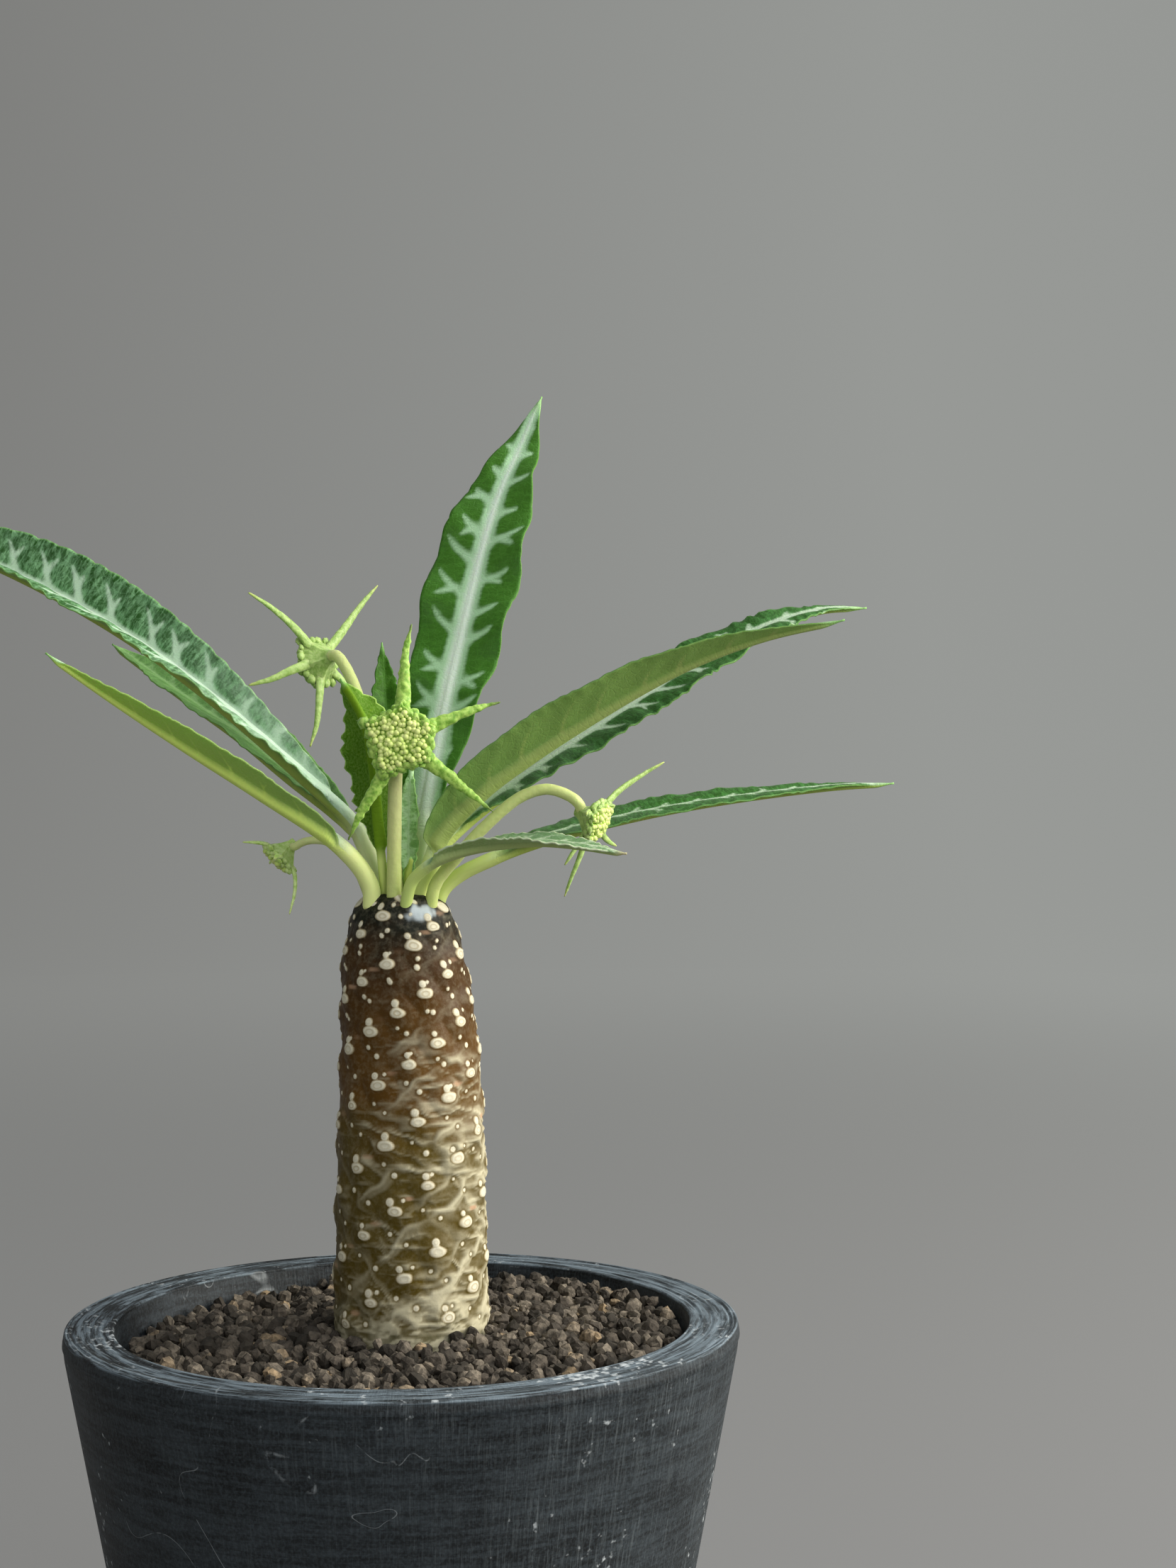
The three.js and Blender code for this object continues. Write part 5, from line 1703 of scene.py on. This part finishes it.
    def florets(self) -> Skin:
        """Beads on a low pad, on a sunflower spiral: the nth at angle 137.5°·n, radius √n.

        Returns:
            The skin in the plant's place, with each point's rise over its bead's foot.
        """
        random = np.random.default_rng(self.seed + 50)
        pitch = self.bead * 1.5
        number = np.arange(int((self.radius / pitch * 1.9) ** 2) + 8)
        radius = pitch * 0.56 * np.sqrt(number + 0.4) + random.normal(0, 0.1, len(number))
        turn = number * np.radians(137.508) + random.normal(0, 0.1, len(number)) / np.maximum(radius, 1)
        kept = radius < self.outline(turn) - self.rim * 0.3
        turn, radius = turn[kept], radius[kept]
        count = len(turn)
        dome = 0.28 * (1 - (radius / self.radius) ** 2)
        z = 0.04 + dome + random.uniform(-0.1, 0.14, count)
        centres = polar(radius, turn, z)
        ways, quads = ball(2)
        shapes = np.broadcast_to(ways, (count, *ways.shape))
        half = self.bead * random.uniform(0.7, 1.3, (count, 1)) * np.array([[1, 1, 1.25]])
        turns = np.broadcast_to(np.eye(3), (count, 3, 3))
        beads = lumps(centres, half, turns, shapes, quads)
        beads.marks["rise"] = np.tile(ways[:, 2] * 0.5 + 0.5, count)
        turn = full_turn(self.pad_columns)
        edge = self.outline(turn) - self.rim
        pad = [(0.01, 0.3), (0.5, 0.24), (0.9, 0.06), (1.0, -0.1), (1.0, -0.3), (0.01, -0.3)]
        rings = np.stack([polar(edge * size, turn, z) for size, z in pad[::-1]])
        bed = Skin.tube(rings, {"rise": np.zeros(rings.shape[:2]), "tone": np.zeros(rings.shape[:2])})
        whole = Skin.joined([bed, beads])
        return Skin(self.placed(whole.points), whole.faces, whole.marks)

    def build(self) -> tuple[bpy.types.Object, bpy.types.Object]:
        """The dressed head with its arms and stalk, and its florets."""
        arms = [self.arm(*arm, seed=self.seed + 7 * n) for n, arm in enumerate(self.arms)]
        flesh = Skin.joined([self.body(), self.ruffle(), self.stem(), *arms])
        head = flesh.made(f"{self.name}_head", self.look.value)
        return head, self.florets().made(f"{self.name}_beads", FloretBeads())


# What grows, as the CAD has it

LEAVES = (
    Leaf("leaf_left_upper", (-2.6, 0.8), 163, spine=((-0.4, 137), (0.3, 140.8), (2.1, 145.6),
         (3.8, 148.6), (12, 155.6), (23, 164.3), (34.3, 172.1), (45.8, 178.6), (57.6, 184.1),
         (66, 187.2), (74, 189.5), (80, 190.6)), stalk=0.1, half_width=6.8, peak=0.6, left=(8, 4),
         right=(82, 76), waves=6, rise=(0.3, 0.05), phase=0.2, rib_radius=1.15, look=LeafLook.FROSTED,
         vein_pitch=5.8, vein_half=0.52, vein_reach=0.78, vein_lean=(0.75, 0.6), forked=0.85,
         band=(1.15, 0.75), seed=3, tooth=(3.1, 0.3), quilt=0.28),
    Leaf("leaf_left_lower", (-4.0, -3.2), 187, spine=((-0.2, 137), (-0.2, 140.1), (1.4, 143.6),
         (4.3, 146.5), (14.1, 152.8), (23.8, 158.8), (33.5, 165.1), (42.1, 171)), stalk=0.16,
         half_width=4.6, peak=0.45, left=(32, 28), right=(24, 22), waves=5, rise=(0.07, 0.06),
         phase=0.5, rib_radius=1.2, look=LeafLook.LIME, tooth=(1.6, 0.09), crisp=0.08, quilt=0.08,
         vein_half=0.16, seed=4),
    Leaf("leaf_left_back", (-2.2, 3.4), 142, spine=((0, 137), (0.6, 140.5), (2.6, 145), (8, 149.2),
         (18.1, 154.6), (28, 160.2), (39.1, 165.7), (55, 174)), stalk=0.2, half_width=6.2, peak=0.5,
         left=(20, 16), right=(30, 26), waves=5, rise=(0.2, 0.2), phase=0.1, rib_radius=1.05,
         look=LeafLook.PLAIN, band=(0.8, 0.3), vein_half=0.3, tooth=(2.2, 0.12), crisp=0.1, quilt=0.1,
         seed=5),
    Leaf("leaf_back_upright", (1.9, 3.4), 62, spine=((0, 137), (0.5, 142), (1.4, 148.3), (6.7, 162.8),
         (12.5, 175.7), (17.5, 185.9), (22.5, 194.4), (28.8, 202), (35, 210)), stalk=0.12,
         half_width=7.2, peak=0.5, left=(12, 10), right=(2, 2), waves=6, rise=(0.8, 0.8), phase=0.3,
         rib_radius=1.25, look=LeafLook.DEEP, vein_pitch=5.4, vein_half=0.46, vein_reach=0.72,
         vein_lean=(0.42, 0.1), vein_bow=0.055, forked=0.2, band=(2.35, 0.85), tooth=(5.2, 0.25),
         crisp=0.06, quilt=0.14, seed=6),
    Leaf("leaf_right_arching", (2.4, -1.8), -6, spine=((-0.5, 137), (-0.2, 140), (0.9, 143), (2.6, 147),
         (8.3, 152.8), (14, 156.9), (22.2, 162), (30.7, 166.8), (37.3, 169.9), (46.1, 172.9),
         (56.5, 175)), stalk=0.1, half_width=6.4, peak=0.43, left=(24, 12), right=(56, 16), waves=5,
         rise=(0.22, 0.16), phase=0, rib_radius=1.2, look=LeafLook.OLIVE, seed=7, tooth=(1.6, 0.09),
         crisp=0.08, vein_pitch=6.0, vein_half=0.42, vein_lean=(0.3, 0.3), vein_bow=0.13,
         vein_reach=0.78, forked=0.0, quilt=0.16),
    Leaf("leaf_right_back", (3.6, 0.8), 21, spine=((-0.4, 137), (-0.1, 141), (0.9, 145), (4.9, 148.9),
         (13.1, 154.4), (22.8, 160.3), (30.3, 164.8), (39.4, 170.2), (49.8, 175.4), (58.7, 177.9),
         (65.7, 178.3)), stalk=0.12, half_width=6.0, peak=0.5, left=(30, 26), right=(-20, -12), waves=6,
         rise=(0.3, 0.2), phase=0.4, rib_radius=1.1, vein_pitch=5.2, vein_half=0.4, vein_reach=0.66,
         vein_lean=(0.5, 0.5), forked=0.6, band=(1.4, 0.5), tooth=(2.6, 0.2), seed=8),
    Leaf("leaf_right_narrow", (5.4, -0.5), 14, spine=((-1, 136.5), (0.1, 139.6), (2.7, 142),
         (7.4, 144.3), (13.9, 146.4), (24, 148.8), (37, 151), (54.8, 152.9), (64.2, 153.3)), stalk=0.16,
         half_width=3.6, peak=0.42, left=(30, 20), right=(-12, -6), waves=6, rise=(0.15, 0.12),
         phase=0.7, rib_radius=1.0, vein_pitch=4.6, vein_half=0.18, vein_reach=0.4, band=(0.5, 0.2),
         tooth=(2.6, 0.12), crisp=0.1, quilt=0.08, seed=9),
    Leaf("leaf_front_short", (0.6, -5.2), -18, spine=((0.2, 136.5), (0.4, 138.8), (0.9, 140.9),
         (1.9, 142.2), (3.5, 143.4), (6.7, 144.7), (10.6, 145.6), (14.8, 146.1), (19.1, 146.3),
         (24.7, 145.8), (30.8, 144.8)), stalk=0.2, half_width=3.2, peak=0.5, left=(20, 22),
         right=(38, -18), waves=5, rise=(0.1, 0.1), phase=0.2, rib_radius=0.8, look=LeafLook.GREYED,
         vein_pitch=2.6, vein_half=0.13, band=(0.22, 0.14), tooth=(1.0, 0.26), crisp=0.12, seed=10,
         quilt=0.08),
    Leaf("leaf_front_folded", (-2.1, -2.2), 262, spine=((0, 137), (0.1, 142, -0.2), (0.4, 149, -0.9),
         (0.8, 156, -1.4), (1.5, 162, -2.5), (3.2, 167.6, -5.2)), stalk=0.22, half_width=4.6, peak=0.55,
         left=(56, 40), right=(22, 26), waves=3, rise=(0.4, 0.4), phase=0.6, rib_radius=0.6,
         look=LeafLook.FOLDED, vein_pitch=4.0, vein_half=0.16, band=(0.3, 0.2), tooth=(1.5, 0.5),
         crisp=0.42, seed=11),
    Leaf("leaf_back_young", (-0.6, 1.4), 107, spine=((0, 137), (0.4, 142), (2.2, 149.3), (5.4, 158),
         (8, 166), (9.6, 173)), stalk=0.24, half_width=3.1, peak=0.5, left=(30, 26), right=(30, 26),
         waves=4, rise=(0.3, 0.3), phase=0.1, rib_radius=0.6, look=LeafLook.DUSKY, vein_pitch=3.6,
         vein_half=0.2, band=(0.35, 0.2), tooth=(1.5, 0.3), seed=12),
    Leaf("leaf_centre_young", (0.9, -0.1), 80, spine=((0, 137), (0.1, 142), (0.3, 148), (0.9, 153),
         (1.8, 156.6)), stalk=0.12, half_width=1.6, peak=0.5, left=(30, 30), right=(30, 30), waves=3,
         rise=(0.2, 0.2), phase=0.5, rib_radius=0.5, look=LeafLook.YOUNG, vein_pitch=2.2,
         vein_half=0.14, band=(0.25, 0.15), tooth=(0.9, 0.12), seed=13, quilt=0.1),
    Leaf("leaf_bud", (0.6, -2.4), 320, spine=((0, 137), (0.1, 139.8), (0.4, 142), (1, 144)), stalk=0.3,
         half_width=0.7, peak=0.5, left=(35, 30), right=(35, 30), waves=1, rise=(0.1, 0.1), phase=0,
         rib_radius=0.36, look=LeafLook.YOUNG, vein_pitch=1.5, vein_half=0.1, band=(0.15, 0.1),
         tooth=(0.7, 0.08), seed=14, quilt=0.05),
)

HEADS = (
    FlowerHead("bloom_front", (-0.8, -3.8), 290, stalk=((0, 136.5), (0.1, 142), (0.5, 150), (1.2, 156),
               (1.9, 158.6)), stalk_radius=(1.0, 0.9), centre=(0.2, -7.9, 159.4), facing=(0, -1, 0.06),
               radius=4.8, arm_radius=1.0, arms=((85, 15.6, -1), (23, 14.2, -2), (-36, 15.4, -1.5),
               (-117, 14.6, -1), (153, 6.4, -1.5)), look=FlowerLook.FRESH, seed=5),
    FlowerHead("bloom_left_back", (-0.4, 4.7), 131, stalk=((0, 137), (0.5, 144), (3.4, 152), (7.6, 161),
               (11.4, 168), (15, 171.4)), stalk_radius=(0.85, 0.8), centre=(-13.3, 19, 170.7),
               facing=(-0.75, 0.63, -0.21), radius=3.9, arm_radius=0.62, arms=((49, 13.7, 2.8),
               (138, 16, -2), (-15, 11.8, 3.3), (-76, 12.6, 1.5), (-138, 7, -0.5)),
               look=FlowerLook.PALE, rough=0.3, taper=0.6, seed=6),
    FlowerHead("bloom_right", (4.3, -3.6), -2, stalk=((-0.4, 136.5), (0.4, 140.3), (2.8, 143.4),
               (6.6, 147.6), (11.6, 151.8), (15.1, 152.9), (18, 152.1), (19.4, 151)),
               stalk_radius=(0.85, 0.72), centre=(26.4, -4.6, 148.8), facing=(0.85, -0.38, -0.36),
               radius=3.3, arm_radius=0.55, arms=((40, 14, 2.6), (-30, 7, 2), (-88, 11.5, -0.5),
               (-116, 7.4, -0.5), (165, 5, 0.8)), look=FlowerLook.PALE, rough=0.3, taper=0.6, seed=7),
    FlowerHead("bloom_left_low", (-5.3, 1.3), 166, stalk=((-1.4, 136.5), (-0.3, 139.4), (1.2, 142.6),
               (3.6, 145), (5.5, 145.9), (7.3, 146), (8.9, 145.6), (9.8, 145.1)),
               stalk_radius=(0.6, 0.52), centre=(-17.2, 4.2, 143.4), facing=(-0.68, -0.1, -0.72),
               radius=2.6, arm_radius=0.45, arms=((68, 5.4, 2.2), (175, 5, 2), (-72, 6.6, 5), (5, 4, 1),
               (-140, 4, 0.5)), look=FlowerLook.YELLOWED, rough=0.3, taper=0.6, seed=8),
)


# Studio


@dataclass
class Studio:
    """Pale seamless paper all round, soft lights from the right, and the photo's camera."""

    eye: tuple[float, float, float] = (24.952, -341.720, 158.196)
    pitch: float = 0.783
    roll: float = 0.19
    lens: float = 58.6
    floor_reach: float = 1500.0
    wall_bend: float = 900.0
    wall_height: float = 3600.0
    columns: int = 96
    air: str = "#e4e8ee"
    air_strength: float = 0.2

    def paper(self) -> bpy.types.Object:
        """A floor that curves up to a wall all round: a profile carried round the axis.

        Returns:
            The backdrop.
        """
        bend = np.linspace(0, np.pi / 2, 16)
        flat, curve = self.floor_reach, self.wall_bend
        radius = np.concatenate([[1.0, 900, flat], flat + curve * np.sin(bend), [flat + curve]])
        height = np.concatenate([[0.0, 0, 0], curve - curve * np.cos(bend), [self.wall_height]])
        rows = polar(radius[:, None], full_turn(self.columns), height[:, None])
        step = np.arange(self.columns)
        middle = np.full(self.columns, self.columns * len(radius))
        hub = np.stack([middle, step, (step + 1) % self.columns], -1)
        points = np.concatenate([rows.reshape(-1, 3), [[0, 0, 0]]])
        quads = grid_quads(len(radius), self.columns, True)[:, ::-1]
        sheet = Skin(points, [quads, hub]).made("studio_paper", StudioPaper())
        return sheet

    def light(self, name: str, place: tuple[float, ...], size: tuple[float, float], watts: float,
              colour: str) -> None:
        """Hang one soft light that looks at the plant.

        Args:
            name: its name.
            place: where it hangs, in metres.
            size: its width and height, in metres.
            watts: its power.
            colour: its sRGB hex colour.
        """
        lamp = bpy.data.lights.new(name, "AREA")
        lamp.shape, lamp.size, lamp.size_y = "RECTANGLE", *size
        lamp.energy, lamp.color = watts, linear(colour)[:3]
        piece = bpy.data.objects.new(name, lamp)
        piece.location = place
        piece.rotation_euler = (Vector((0, 0, 0.14)) - Vector(place)).to_track_quat("-Z", "Y").to_euler()
        bpy.context.scene.collection.objects.link(piece)

    def camera(self) -> None:
        """Put the camera where the photograph was taken from.

        It looks along +Y, turned down by the pitch and round its own axis by the roll.
        """
        lens = bpy.data.cameras.new("photo_camera")
        lens.lens, lens.sensor_width, lens.clip_start = self.lens, 36, 0.01
        pitch, roll = np.radians(self.pitch), np.radians(self.roll)
        ahead = np.array([0, np.cos(pitch), -np.sin(pitch)])
        level, upright = np.array([1, 0, 0]), np.array([0, np.sin(pitch), np.cos(pitch)])
        right = np.cos(roll) * level - np.sin(roll) * upright
        up = np.cos(roll) * upright + np.sin(roll) * level
        columns = np.stack([right, up, -ahead, np.array(self.eye) * MM], -1)
        camera = bpy.data.objects.new("photo_camera", lens)
        camera.matrix_world = Matrix([*columns.tolist(), [0, 0, 0, 1]])
        bpy.context.scene.collection.objects.link(camera)
        bpy.context.scene.camera = camera

    def build(self) -> None:
        """Set up paper, lights, sky and camera."""
        self.paper()
        self.camera()
        self.light("window_right", (1.1, -0.02, 0.66), (0.7, 0.8), 28.0, "#fff9f0")
        self.light("sky_top", (0.3, -0.1, 1.3), (1.0, 1.0), 4.0, "#eef4ff")
        self.light("fill_front", (0.75, -1.15, 0.95), (0.8, 0.8), 9.0, "#fcfbff")
        self.light("fill_left", (-0.85, -1.1, 0.5), (0.9, 0.9), 2.5, "#fdfdff")
        world = bpy.data.worlds.new("studio_air")
        world.use_nodes = True
        sky = world.node_tree.nodes["Background"]
        feed(world.node_tree, sky, {"Color": self.air, "Strength": self.air_strength})
        bpy.context.scene.world = world
        bpy.context.scene.view_settings.view_transform = "Standard"


def settle(piece: bpy.types.Object, node: str) -> None:
    """Let a piece stand for a CAD node and ride with the plant.

    Args:
        piece: the dressed piece.
        node: the CAD node that it replaces.
    """
    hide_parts(node)
    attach(piece, "root")
    log.info("%s stands for %s: %d faces", piece.name, node, len(piece.data.polygons))


def main() -> None:
    """Build the studio and the plant from the pot upwards."""
    logging.basicConfig(level=logging.INFO, format="%(name)s: %(message)s")
    Studio().build()
    pot, stem = TurnedPot(), ScarredStem()
    settle(pot.build(), "pot")
    settle(GravelBed(pot, stem).build(), "soil")
    settle(stem.build(), "stem")
    for leaf in LEAVES:
        settle(leaf.build(), leaf.name)
    for head in HEADS:
        flesh, florets = head.build()
        settle(flesh, head.name)
        settle(florets, f"{head.name}_florets")


if __name__ == "__main__":
    main()
